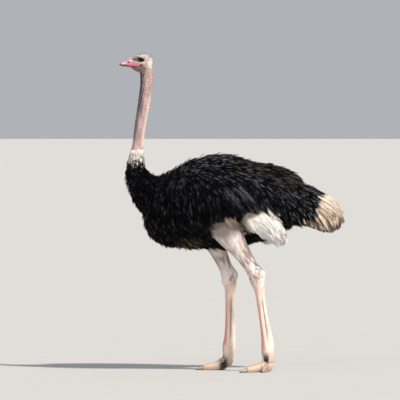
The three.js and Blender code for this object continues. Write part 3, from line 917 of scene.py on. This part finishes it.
def room_within(roots, outline, longest, shift):
    """How far each feather can run along its lie before it leaves a side-view outline."""
    heading, _ = lie_at(roots)
    room = np.zeros(len(roots))
    for reach in np.linspace(0.015, longest, 20):
        end = roots + heading * reach
        room = np.where(inside(end[:, 1] + shift, end[:, 2], outline), reach, room)
    return room


def blade_faces(rings):
    """Triangles of one closed blade: three-sided rings of points, and the tip last."""
    tip, end = 3 * rings, 3 * rings - 3
    faces = [(0, 1, 2)]
    for start in range(0, end, 3):
        for i, j in ((0, 1), (1, 2), (2, 0)):
            i, j = start + i, start + j
            faces += [(i, j + 3, j), (i, i + 3, j + 3)]
    return np.array(faces + [(end, tip, end + 1), (end + 1, tip, end + 2), (end + 2, tip, end)])


class Coat:
    """Gathers feathers as closed three-sided blades and turns them into one mesh piece."""

    def __init__(self, name):
        self.name = name
        self.points, self.triangles, self.uvs = [], [], []
        self.values = {"tuft": [], "along": [], "tint": []}
        self.total = 0

    def add(self, lines, ups, patch, rng, reach, count, width, start=(0.0, 0.4), advance=(0.5, 0.65),
            stations=(0.0, 0.5), spread=(0.5, 1.0, 0.3), sag=0.0, rough=0.2, tint=0.0, paired=False, cup=0.8):
        """Adds a tuft of `count` blades on each middle line, out to `reach` on either side of it."""
        number, knots = lines.shape[:2]
        blades = (number, count)
        stops = np.array((*stations, 1.0))
        tuft = rng.random(number)
        if paired:  # barbs stand in two rows along the middle line
            first = np.linspace(*start, count) + rng.normal(0, 0.01, blades)
            side = np.where(np.arange(count) % 2, 1.0, -1.0)
        else:
            first = rng.uniform(*start, blades)
            side = np.linspace(-1, 1, count)
        side = side * (1 + rng.normal(0, 0.15, blades))
        last = first + rng.uniform(*advance, blades)
        t = np.maximum(first[..., None] + (last - first)[..., None] * stops, 0)
        knot = np.clip((t * (knots - 1)).astype(int), 0, knots - 2)
        part = t * (knots - 1) - knot
        who = np.arange(number)[:, None, None]
        a, b = lines[who, knot], lines[who, knot + 1]
        ahead = unit(b - a)
        turn = ups[who, np.minimum(knot + 1, knots - 1)] - ups[who, knot]
        up = unit(ups[who, knot] + turn * np.clip(part, 0, 1)[..., None])
        out = unit(np.cross(ahead, up))
        reach = np.broadcast_to(reach, (number,))[:, None, None]
        wide = np.interp(stops, (0, 0.5, 1), spread) * reach
        if paired:
            wide = wide * np.sin(np.pi * np.clip(0.12 + first * 0.8, 0, 1))[..., None]
        middle = a + (b - a) * part[..., None] + out * (side[..., None] * wide)[..., None]
        middle = middle + up * (rng.normal(0, rough, blades)[..., None] * stops * reach)[..., None]
        middle[..., 2] -= sag * stops**2 * (0.6 + 0.8 * rng.random(blades))[..., None]
        way = unit(np.diff(middle, axis=2))
        way = np.concatenate((way, way[:, :, -1:]), 2)
        tilt = unit(up + out * (side * cup)[..., None, None] + rng.normal(0, BLADE_ROLL, (*blades, 1, 3)))
        across = unit(np.cross(way, tilt))
        crest = np.cross(across, way)[:, :, :-1]
        across, bases = across[:, :, :-1], middle[:, :, :-1]
        slim = np.interp(stations, (0, 0.5, 1), (0.75, 1.0, 0.3))[:, None]
        size = width * (0.7 + 0.6 * rng.random(blades))[..., None, None] * slim
        rings = (bases - across * size / 2, bases + across * size / 2, bases + crest * size * BLADE_THICK)
        points = np.concatenate((np.stack(rings, 3).reshape(*blades, -1, 3), middle[:, :, -1:]), 2)
        each = points.shape[2]
        offsets = self.total + np.arange(number * count)[:, None, None] * each
        self.triangles.append((blade_faces(len(stations))[None] + offsets).reshape(-1, 3))
        self.points.append(points.reshape(-1, 3))
        self.total += number * count * each
        place = np.clip(np.concatenate((np.repeat(t[..., :-1], 3, 2), t[..., -1:]), 2), 0, 1)
        band = 0.5 + 0.5 * np.cos(2.8 * side + 44 * tuft[:, None])  # neighbouring blades share a tone
        tone = 0.55 * tuft[:, None] + 0.45 * band
        tint = np.broadcast_to(tint, (number,))[:, None, None]
        u = patch[:, 0, None, None] + np.clip(side, -1, 1)[..., None] * PATCH / 2
        v = patch[:, 1, None, None] + (place - 0.5) * PATCH
        self.values["along"].append(place.ravel())
        self.values["tuft"].append(np.broadcast_to(tone[..., None], place.shape).ravel())
        self.values["tint"].append(np.broadcast_to(tint, place.shape).ravel())
        self.uvs.append(np.stack((np.broadcast_to(u, place.shape), v), -1).reshape(-1, 2))

    def finished(self, material, slot):
        triangles = np.concatenate(self.triangles)
        piece = mesh_object(self.name, np.concatenate(self.points), triangles)
        set_attributes(piece, **{name: np.concatenate(values) for name, values in self.values.items()})
        layer = piece.data.uv_layers.new(name="OFBake")
        layer.data.foreach_set("uv", np.concatenate(self.uvs)[triangles.ravel()].astype(np.float32).ravel())
        hand_in(piece, material, slot)


def unwrapped(roots, kind="body"):
    """Where each root lies when the skin is cut along its underside and rolled out flat."""
    x, y, z = roots.T
    if kind == "neck":
        turn, run = np.arctan2(x, np.interp(z, *zip(*NECK_SPINE)) - y), z
    else:
        turn, run = np.arctan2(x, z - np.interp(y, *zip(*BODY_SPINE))), y
    flat = np.stack((turn, run), 1)
    low, high = flat.min(0), flat.max(0)
    return 0.01 + 0.98 * (flat - low) / np.maximum(high - low, 1e-6)


def region_of(roots):
    """Names the piece of coat that each root belongs to."""
    x, y, z = roots.T
    names = np.full(len(roots), "flank_feathers", dtype="<U24")
    names[z > 1.38] = "back_feathers"
    names[z < 1.0] = "belly_feathers"
    names[y > 0.2] = "rump_feathers"
    names[y < -0.4] = "breast_feathers"
    white = plume_share(roots) > 0
    for side, sign in SIDES.items():
        oval = ((y + WING_FORWARD[side] + 0.1) / 0.37) ** 2 + ((z - 1.23) / 0.23) ** 2
        names[(oval < 1) & (x * sign > 0.14)] = f"{side}_wing_feathers"
        names[white & (x * sign > 0)] = f"{side}_white_plumes"
    names[(y < NECK_Y) & (z > 1.2 + (y + 0.6) * 0.8)] = "neck_base_feathers"
    names[(y < NECK_Y) & (z > COLLAR_BOTTOM)] = "collar_feathers"
    names[y > tail_edge(z)] = "tail_plumes"
    return names


def laid_coat(tree, roots, names, rng):
    """Size and middle line of the feather at each root of the short coat, and whether it is shown."""
    x, y, z = roots.T
    many = len(roots)
    plumes = np.char.find(names, "plumes") >= 0
    in_tail = names == "tail_plumes"
    length = lie_at(roots)[1] * rng.uniform(0.8, 1.25, many)
    thin = np.clip(length / (80 * MM), 0.3, 1.3)
    stray = np.where(rng.random(many) < 0.14, 1.5, 1.0)
    lift = np.minimum(22 * MM, length * 0.45) * rng.uniform(0.25, 1.1, many) * stray
    longer = length * np.where(in_tail, rng.uniform(1.0, 1.4, many), rng.uniform(1.1, 1.6, many))
    in_wing = room_within(roots, PLUME_EDGE, 0.2, set_forward(roots, WING_FORWARD))
    room = np.where(in_tail, room_within(roots, TAIL_EDGE, 0.2, 0.0), in_wing)
    length = np.where(plumes, np.clip(longer, 22 * MM, np.maximum(0.85 * room, 22 * MM)), length)
    lift = np.where(plumes, rng.uniform(3, 18, many) * MM, lift)
    # loose feathers under the belly and down the breast, flat ones in the collar
    under = (1 - ramp(z, 0.95, 1.05)) * (y < 0.1) * ~plumes
    front = ramp(-y, 0.5, 0.58) * (z < 1.4)
    loose = (rng.random(many) < 0.3) * np.maximum(under, front)
    lift = lift + loose * rng.uniform(6, 16, many) * MM
    flat = 0.1 + 0.4 * (1 - ramp(z, 1.48, 1.55))
    lift = np.where((y < NECK_Y) & (z > COLLAR_BOTTOM), flat * lift, lift)
    lines, ups = laid_paths(tree, roots, length, lift, rng, 5, 0.32)
    # none shows that would cross a bare thigh, or the white plumes from above
    middle = lines[:, 4]
    beside_thigh = (middle[:, 2] > 0.8) & (middle[:, 2] < 1.12) & (np.abs(middle[:, 1]) < 0.4)
    ends = 0.4 * lines[:, 4] + 0.6 * lines[:, 5] + rng.normal(0, 9 * MM, middle.shape)
    ends[:, 0] = np.where(x < 0, -np.abs(ends[:, 0]), np.abs(ends[:, 0]))
    shown = from_drumsticks(middle, beside_thigh) >= 22 * MM
    shown &= ~over_bare_thigh(ends)
    shown &= plumes | (plume_share(middle) < 0.5)
    return lines, ups, thin, shown


def cover_body(skin, tree, finishes):
    x, y, z = points_of(skin).T
    in_nape = 2.5 * spot(points_of(skin), (-0.53, 1.3), (0.07, 0.06))
    pale = 0.2 * ramp(y - tail_edge(z), -0.02, 0.02) + 0.9 * plume_share(points_of(skin))
    extra = np.where((y < NECK_Y) & (z > 1.32), 3.8 * ramp(z, 1.34, 1.5), pale)
    rng = np.random.default_rng(11)
    roots = scatter(skin, feathered_share(points_of(skin)) * (1 + in_nape + extra), ROOTS["coat"], rng)
    names = region_of(roots)
    lines, ups, thin, shown = laid_coat(tree, roots, names, rng)
    for name in np.unique(names).tolist():
        mine = np.flatnonzero((names == name) & shown)
        patch = unwrapped(roots[mine], "neck" if name in NECK_COATS else "body")
        coat = Coat(name)
        if name == "tail_plumes":
            slot = "buff_plumage"
            height = roots[mine, 2] + 0.25 * (roots[mine, 1] - 0.6)
            # painted shade: the short tail tufts under the long locks are browned so the gaps between locks
            # look shaded; they are browner lower down
            tint = 0.9 * (1 - ramp(height, 1.0, 1.22)) + 0.55 + rng.normal(0, 0.16, len(mine))
        elif name.endswith("white_plumes"):
            slot = "white_plumage"
            # painted shade: the short white tufts under the long locks are tinted buff so the gaps between
            # locks look shaded
            tint = 0.28 + rng.normal(0, 0.2, len(mine))
        else:  # finer blades where feathers are short
            slot = "black_plumage"
            for low, high, width in ((0.0, 0.62, 2.0), (0.62, 2.0, 3.6)):
                some = (thin[mine] >= low) & (thin[mine] < high)
                if some.any():
                    those = mine[some]
                    coat.add(lines[those], ups[those], patch[some], rng, 11 * MM * thin[those], 9, width * MM)
        if slot != "black_plumage":
            coat.add(lines[mine], ups[mine], patch, rng, 10 * MM * thin[mine], 9, 3.2 * MM, tint=tint,
                     stations=(0.0, 0.33, 0.66), spread=(0.5, 1.0, 0.12), rough=0.22, sag=2 * MM, cup=1.0)
        coat.finished(finishes[slot], slot)


def make_long_coverts(tree, material):
    """Long feathers that arch over the back of each wing and end in a point over the white plumes."""
    rng = np.random.default_rng(41)
    count = ROOTS["coverts"]
    for side, sign in SIDES.items():
        row = rng.uniform(0, 1, count)
        y = -0.16 + 0.28 * row + rng.normal(0, 0.02, count) - WING_FORWARD[side]
        z = 1.43 - 0.17 * row**1.5 - rng.uniform(0, 0.12, count)
        roots = from_side(tree, sign, y, z)
        end = 1.125 - 0.3 * np.maximum(roots[:, 1] + WING_FORWARD[side] - 0.05, 0)
        length = np.clip((roots[:, 2] - end) / 0.78, 0.07, 0.25) * rng.uniform(0.85, 1.0, len(roots))
        lift = rng.uniform(10, 20, len(roots)) * MM
        lines, ups = laid_paths(tree, roots, length, lift, rng, 8, 0.06)
        coat = Coat(f"{side}_long_coverts")
        # tint sets how strongly each covert is painted with glints: painted highlights over the wing's arch
        coat.add(lines, ups, unwrapped(roots), rng, 11 * MM, 40, 2.6 * MM, start=(0.04, 0.9),
                 advance=(0.12, 0.2), spread=(0.0, 0.7, 0.9), rough=0.12, paired=True, sag=1 * MM, cup=0.6,
                 tint=rng.uniform(0.2, 0.9, len(roots)))
        coat.finished(material, "black_plumage")


def make_locks(name, tree, roots, room, rng, reach, brown, material, slot):
    """Long pointed locks of barbs that overlap each other and end raggedly; some are browner."""
    least_room, brown_share, brown_tint, mixed = brown
    roots, room = roots[room > least_room], room[room > least_room]
    many = len(roots)
    tint = np.where(rng.random(many) < brown_share, brown_tint, -0.05) + rng.normal(0, mixed, many)
    length = room * rng.uniform(0.8, 1.06, many)
    lift = rng.uniform(6, 34, many) * MM
    lines, ups = laid_paths(tree, roots, length, lift, rng, 8, 0.17)
    reach = reach * rng.uniform(0.7, 1.2, many)
    coat = Coat(name)
    coat.add(lines, ups, unwrapped(roots), rng, reach, 24, 2.6 * MM, start=(0.0, 0.38), advance=(0.5, 0.62),
             stations=(0.0, 0.35, 0.7), spread=(0.45, 1.0, 0.1), rough=0.35, cup=1.0, tint=tint)
    coat.finished(material, slot)


def make_long_plumes(skin, tree, finishes):
    """Long loose plumes over the short ones: white under each wing, white to brown in the tail."""
    rng = np.random.default_rng(71)
    points = points_of(skin)
    x, y, z = points.T
    for side, sign in SIDES.items():
        roots = scatter(skin, plume_share(points) * (x * sign > 0), ROOTS["wing_plumes"], rng)
        room = room_within(roots, PLUME_EDGE, 0.18, WING_FORWARD[side])
        # painted shade: a share of the white plume locks is browned, as shade among the white locks
        make_locks(f"{side}_long_plumes", tree, roots, room, rng, 8 * MM, (0.035, 0.2, 0.45, 0.08),
                   finishes["white_plumage"], "white_plumage")
    wanted = ramp(y - tail_edge(z), -0.025, 0.0) * (z > 0.99)
    roots = scatter(skin, wanted, ROOTS["tail_plumes"], rng)
    room = room_within(roots, TAIL_EDGE, 0.2, 0.0)
    make_locks("long_tail_plumes", tree, roots, room, rng, 9 * MM, (0.04, 0.3, 0.6, 0.1),
               finishes["buff_plumage"], "buff_plumage")


def make_thigh_fluff(tree, material):
    """Buff fluff that shows under the wings in front of the white plumes."""
    rng = np.random.default_rng(61)
    count = ROOTS["fluff"]
    coat = Coat("buff_thigh_feathers")
    for side, sign in SIDES.items():
        y = rng.uniform(-0.05, 0.1, count)
        z = 1.058 - y * 0.4 + rng.uniform(-0.012, 0.03, count)
        roots = from_side(tree, sign, y - WING_FORWARD[side], z)
        length = rng.uniform(0.03, 0.085, len(roots))
        lines, ups = laid_paths(tree, roots, length, rng.uniform(6, 24, len(roots)) * MM, rng, 5, 0.5)
        coat.add(lines, ups, unwrapped(roots), rng, 11 * MM, 9, 1.3 * MM, rough=0.8,
                 tint=rng.uniform(0.2, 1.2, len(roots)))
    coat.finished(material, "buff_plumage")


# ---------------------------------------------------------------- down, wisps and lashes

def make_down(skin, tree, material):
    """Short sparse hair-like down on the neck and head."""
    points = points_of(skin)
    y, z = points[:, 1], points[:, 2]
    rng = np.random.default_rng(51)
    wanted = ramp(z, 1.56, 1.58) * (1 + 1.5 * ramp(z, 2.14, 2.2))
    wanted *= y > -0.69 - 0.4 * (z - 2.142)
    for sign in SIDES.values():
        away, ring = eye_ring(points, sign, 0.0)
        wanted *= (ring > 1.45) | (away[:, 0] * sign <= 0)
    roots = scatter(skin, wanted, ROOTS["down"], rng)
    length = rng.uniform(5, 10, len(roots)) * MM * (1 - 0.35 * ramp(roots[:, 2], 2.1, 2.18))
    _, up = ground_under(tree, roots)
    on_head = ramp(roots[:, 2], 2.11, 2.15)[:, None]
    lie = np.array((0.0, 0.15, -1.0)) * (1 - on_head) + np.array((0.0, 1.0, -0.35)) * on_head
    lie = unit(lie + rng.normal(0, 0.25, roots.shape))
    lie = unit(lie - (lie * up).sum(1, keepdims=True) * up)
    lines = hairs(roots, lie, 0.28 * up, length, 1.4)
    coat = Coat("neck_down")
    # painted shade: down on the front of the neck, turned away from the sun, is darkened
    dark = 0.9 * ramp(-up[:, 1], 0.2, 0.6) * (roots[:, 2] < 2.1)
    coat.add(lines, np.repeat(up[:, None], 4, 1), unwrapped(roots, "neck"), rng, 0.1 * MM, 1, 0.9 * MM,
             start=(0, 0.01), advance=(0.98, 1.0), rough=0, tint=dark)
    coat.finished(material, "neck_skin")
    make_wisps(skin, tree, material, rng)


def make_wisps(skin, tree, material, rng):
    """Stiff wisps on the crown and lashes on the upper lids."""
    _, y, z = points_of(skin).T
    count = ROOTS["wisps"]
    coat = Coat("crown_wisps")
    roots = scatter(skin, ramp(z, 2.2, 2.215) * (y > -0.69), count, rng)
    _, up = ground_under(tree, roots)
    lean = unit(up + np.array((0, 0.5, 0)) + rng.normal(0, 0.35, roots.shape))
    bend = unit(lean + np.array((0, 0.5, -0.2)))
    length = np.where(rng.random(count) < 0.07, 36, rng.uniform(8, 20, count)) * MM
    lines = hairs(roots, lean, bend - lean, length)
    coat.add(lines, np.repeat(up[:, None], 4, 1), unwrapped(roots, "neck"), rng, 0.2 * MM, 2, 1.1 * MM,
             start=(0, 0.02), advance=(0.9, 0.98), rough=0.5, tint=0.5)
    lashes = ROOTS["lashes"]
    angle = np.radians(np.linspace(22, 165, lashes))
    ring_y = LID[0] * 1.06 * np.cos(angle)
    ring_z = LID[1] * 1.06 * np.sin(angle) - LID_SLOPE * ring_y
    reach = np.sqrt(np.maximum((EYE_RADIUS + 3 * MM) ** 2 - ring_y**2 - ring_z**2, 0))
    for sign in SIDES.values():
        roots = EYE_CENTRE * (sign, 1, 1) + np.stack((sign * reach, ring_y, ring_z), 1)
        level = np.ones(lashes)
        away = unit(np.stack((sign * 1.1 * level, np.cos(angle) * 0.5, -0.15 * level), 1))
        curl = unit(np.stack((sign * 0.5 * level, np.cos(angle) * 0.6, 0.7 * level), 1))
        length = rng.uniform(9, 13, lashes) * MM
        coat.add(hairs(roots, away, 0.6 * (curl - away), length), np.tile((0, 0, 1.0), (lashes, 4, 1)),
                 unwrapped(roots, "neck"), rng, 0.3 * MM, 2, 0.8 * MM, start=(0, 0.02), advance=(0.9, 0.98),
                 rough=0.3, tint=1.0)
    coat.finished(material, "neck_skin")


# ---------------------------------------------------------------- eyes, bill, claws, scutes

def make_eyes(material):
    for side, sign in SIDES.items():
        builder = bmesh.new()
        bmesh.ops.create_uvsphere(builder, u_segments=48, v_segments=32, radius=1)
        eye = from_builder(f"{side}_eyeball", builder)
        eye.data.shade_smooth()
        points = points_of(eye)
        axis = Vector((sign, -0.1, 0.02)).normalized()
        turn_to = Vector((0, 0, 1)).rotation_difference(axis).to_matrix()
        off_axis = np.arccos(np.clip(points[:, 2], -1, 1))
        bulge = 1 + 0.035 * (1 - ramp(off_axis, 0.0, 0.62))
        points = (points * bulge[:, None]) @ np.array(turn_to).T
        set_points(eye, points * EYE_RADIUS + EYE_CENTRE * (sign, 1, 1))
        set_attributes(eye, turn=off_axis)
        hand_in(eye, material, "eye", f"{side}_eye")


def make_bill(material):
    for name, node in (("upper_horn", "upper_bill"), ("lower_horn", "lower_bill")):
        horn = fused(name, [node], 1.15 * MM, 5, grow=0.3 * MM)
        points, normals = points_of(horn), normals_of(horn)
        x, y, z = points.T
        lore = 1.2 * spot(points, (-0.694, 2.141), (0.014, 0.0065))
        pit = np.zeros(len(points))
        push = 0.35 * MM - 0.5 * MM * bell(y + 0.772, 2.2 * MM)  # the nail's edge is a fine groove
        if node == "upper_bill":
            lore += streak(points, LORE_LINE, 7 * MM) * ramp(y, -0.716, -0.7)
            # nostrils, the ridge along the top and a furrow on either side of it
            nostril = np.hypot((y + 0.73) / (11 * MM), (z - 2.174 + (y + 0.73) * 0.3) / (5.6 * MM))
            # painted shade inside the nostril
            pit = (1 - ramp(nostril, 0.65, 1.05)) * (np.abs(x) > 8 * MM)
            push += 0.7 * MM * bell(nostril - 1.35, 0.25) * (np.abs(x) > 8 * MM) - 4.5 * MM * pit
            push += 0.9 * MM * bell(x, 7 * MM) * (normals[:, 2] > 0.3) * ramp(y, -0.785, -0.76)
            furrow = bell(np.abs(x) - 12 * MM, 2.5 * MM) * (normals[:, 2] > 0.2)
            push -= 0.8 * MM * furrow * ramp(y, -0.785, -0.765)
        set_points(horn, points + normals * push[:, None])
        above = z - np.interp(y, *zip(*MOUTH_LINE))
        edge = 1 - ramp(np.abs(above), 2.5 * MM, 8 * MM)
        edge = np.where(above > 0, edge, np.maximum(edge, 0.8)) * (1 - 0.6 * ramp(y, -0.75, -0.71))
        set_attributes(
            horn,
            pit=pit,
            lore=lore,
            end=1 - ramp(y, -0.79, -0.772),
            shade=ramp(y, -0.785, -0.72) * (1 - 0.6 * ramp(z, 2.17, 2.186)),
            edge=edge,
        )
        hand_in(horn, material, "bill_horn", node)


def make_claws(material):
    for side, toe in itertools.product(SIDES, ("main", "outer")):
        claw = fused(f"{side}_{toe}_nail", [f"{side}_{toe}_claw"], 1.3 * MM, 6, grow=0.4 * MM)
        points = points_of(claw)
        points[:, 2] = np.maximum(points[:, 2], 0)
        set_points(claw, points)
        y, z = points[:, 1], points[:, 2]
        none = np.zeros(len(points))
        set_attributes(
            claw,
            pit=none,
            edge=none,
            lore=none,
            end=1 - ramp(y, y.min(), y.min() + 14 * MM),
            shade=1 - ramp(z, 2 * MM, 12 * MM),
        )
        hand_in(claw, material, "claw_horn", f"{side}_{toe}_claw")


def scale_faces(rows, columns):
    """Triangles of a closed scale whose top and underside are grids of points, the top first."""
    faces = []
    under = rows * columns
    for row, column in itertools.product(range(rows - 1), range(columns - 1)):
        a = row * columns + column
        b, d, e = a + 1, a + columns, a + columns + 1
        faces += [(a, b, e), (a, e, d), (under + a, under + e, under + b), (under + a, under + d, under + e)]
    border = list(range(columns)) + [row * columns + columns - 1 for row in range(1, rows)]
    border += [(rows - 1) * columns + column for column in range(columns - 2, -1, -1)]
    border += [row * columns for row in range(rows - 2, 0, -1)]
    for a, b in zip(border, border[1:] + border[:1]):
        faces += [(a, under + a, under + b), (a, under + b, b)]
    return np.array(faces)


def scale_points(tree, centre, along, across, long, wide, turn):
    """A domed scale wrapped over the skin round a place on a bone; None where it would miss the skin."""
    facing = np.cross(across, along)
    grid, normals = np.empty((2, 5, 9, 3))
    for row, step in enumerate(np.linspace(-0.5, 0.5, 5)):
        for column, angle in enumerate(np.linspace(-turn, turn, 9)):
            start = centre + along * step * long
            outward = facing * math.cos(angle) + across * math.sin(angle)
            hit, normal, _, _ = tree.ray_cast(Vector(start + outward * wide * 3), Vector(-outward), wide * 3)
            if hit is None:
                return None
            grid[row, column], normals[row, column] = hit, normal
    height, sink = 1.5 * MM, 0.8 * MM
    dome = np.outer(np.sin(np.linspace(0, np.pi, 5)) ** 0.5, np.sin(np.linspace(0, np.pi, 9)) ** 0.4)
    top = grid + normals * (dome * (height + sink) - sink)[..., None]
    bottom = grid - normals * (sink + 0.6 * MM)
    return np.concatenate((top.reshape(-1, 3), bottom.reshape(-1, 3)))


def make_scutes(tree, material):
    """Overlapping plates down the front of each shank and along the top of each toe."""
    rng = np.random.default_rng(5)
    wanted = []
    for side, sign in SIDES.items():
        joint, hock = leg_place(side, "toe_joint"), leg_place(side, "hock")
        along, reach = unit(hock - joint), np.linalg.norm(hock - joint)
        for i in range(SHANK_SCUTES):
            place = joint + along * (0.02 + 0.86 * i / (SHANK_SCUTES - 1)) * reach
            long = reach * 0.86 / SHANK_SCUTES * 1.12
            wanted.append((place, along, np.array((1.0, 0, 0)), long, 40 * MM, 0.75))
        for angle, toe, pieces in zip(TOE_TURNS[side], (0.186, 0.108), (15, 8)):
            heading = np.array((sign * math.sin(angle), -math.cos(angle), 0))
            sideways = np.cross(heading, (0, 0, 1))
            for i in range(pieces):
                place = np.array((*joint[:2], 0.012)) + heading * (0.2 + 0.76 * i / (pieces - 1)) * toe
                wanted.append((place, heading, sideways, toe * 0.76 / pieces * 1.15, 45 * MM, 0.8))
    scales = [scale_points(tree, *one) for one in wanted]
    scales = [scale for scale in scales if scale is not None]
    each = len(scales[0])
    faces = np.concatenate([scale_faces(5, 9) + i * each for i in range(len(scales))])
    scutes = mesh_object("leg_scutes", np.concatenate(scales), faces)
    set_attributes(scutes, tuft=np.repeat([rng.random() for _ in scales], each))
    hand_in(scutes, material, "leg_skin")


# ---------------------------------------------------------------- stage

def make_stage():
    finish = Finish("studio floor", Roughness=0.9, Specular_IOR_Level=0.1)
    finish.set("Base Color", finish.over(linear(190, 189, 187), finish.noise(3), 184, 183, 181))
    bpy.ops.mesh.primitive_plane_add(size=3000)
    floor = bpy.context.object
    floor.name = "floor"
    floor.data.materials.append(finish.material)
    world = bpy.data.worlds.new("studio")
    bpy.context.scene.world = world
    world.use_nodes = True
    sky = world.node_tree.nodes["Background"]
    sky.inputs["Color"].default_value = (0.86, 0.89, 0.94, 1)
    sky.inputs["Strength"].default_value = 0.5
    for name, direction, strength, spread, colour in (
        ("key", (0.52, 0.62, 0.95), 4.2, 0.06, (1.0, 0.95, 0.88)),
        ("fill", (0.9, -0.3, 0.45), 0.7, 1.0, (0.97, 0.98, 1.0)),
    ):
        light = bpy.data.lights.new(name, "SUN")
        light.energy = strength
        light.angle = spread
        light.color = colour
        placed(name, light).rotation_euler = Vector(direction).to_track_quat("Z", "Y").to_euler()


def make_camera():
    camera = bpy.data.cameras.new("camera")
    camera.sensor_fit = "HORIZONTAL"
    camera.angle = 2 * math.atan(HALF_VIEW / CAMERA_DISTANCE)
    camera.clip_end = 4000
    holder = placed("camera", camera)
    holder.location = (CAMERA_DISTANCE, CAMERA_Y, CAMERA_Z)
    aim = Vector((0.0, CAMERA_Y, CAMERA_Z - AIM_DROP)) - holder.location
    holder.rotation_euler = aim.to_track_quat("-Z", "Y").to_euler()
    bpy.context.scene.camera = holder
    bpy.context.scene.view_settings.view_transform = "Standard"


# ---------------------------------------------------------------- the bird

skin = make_skin()
mark_skin(skin)
hand_in(skin, skin_finish(), "neck_skin", *SKIN_NODES)
skin_tree = tree_of(skin)
finishes = {
    "black_plumage": black_plumage(),
    "white_plumage": pale_plumage("white plumage", 0.15),
    "buff_plumage": pale_plumage("tail plumage", 0.3, linear(255, 241, 228), linear(216, 180, 146), 0.5),
}
cover_body(skin, skin_tree, finishes)
make_long_coverts(skin_tree, finishes["black_plumage"])
make_long_plumes(skin, skin_tree, finishes)
make_thigh_fluff(skin_tree, pale_plumage("thigh fluff", 0.3, linear(232, 214, 194), linear(196, 166, 136)))
make_down(skin, skin_tree, down_finish())
make_eyes(eye_finish())
make_bill(horn_finish("bill horn", (228, 190, 180), (226, 118, 144), (40, 32, 38), 0.3))
make_claws(horn_finish("claw horn", (170, 148, 124), (112, 94, 78), (86, 72, 62), 0.5))
make_scutes(skin_tree, scute_finish())
make_stage()
make_camera()
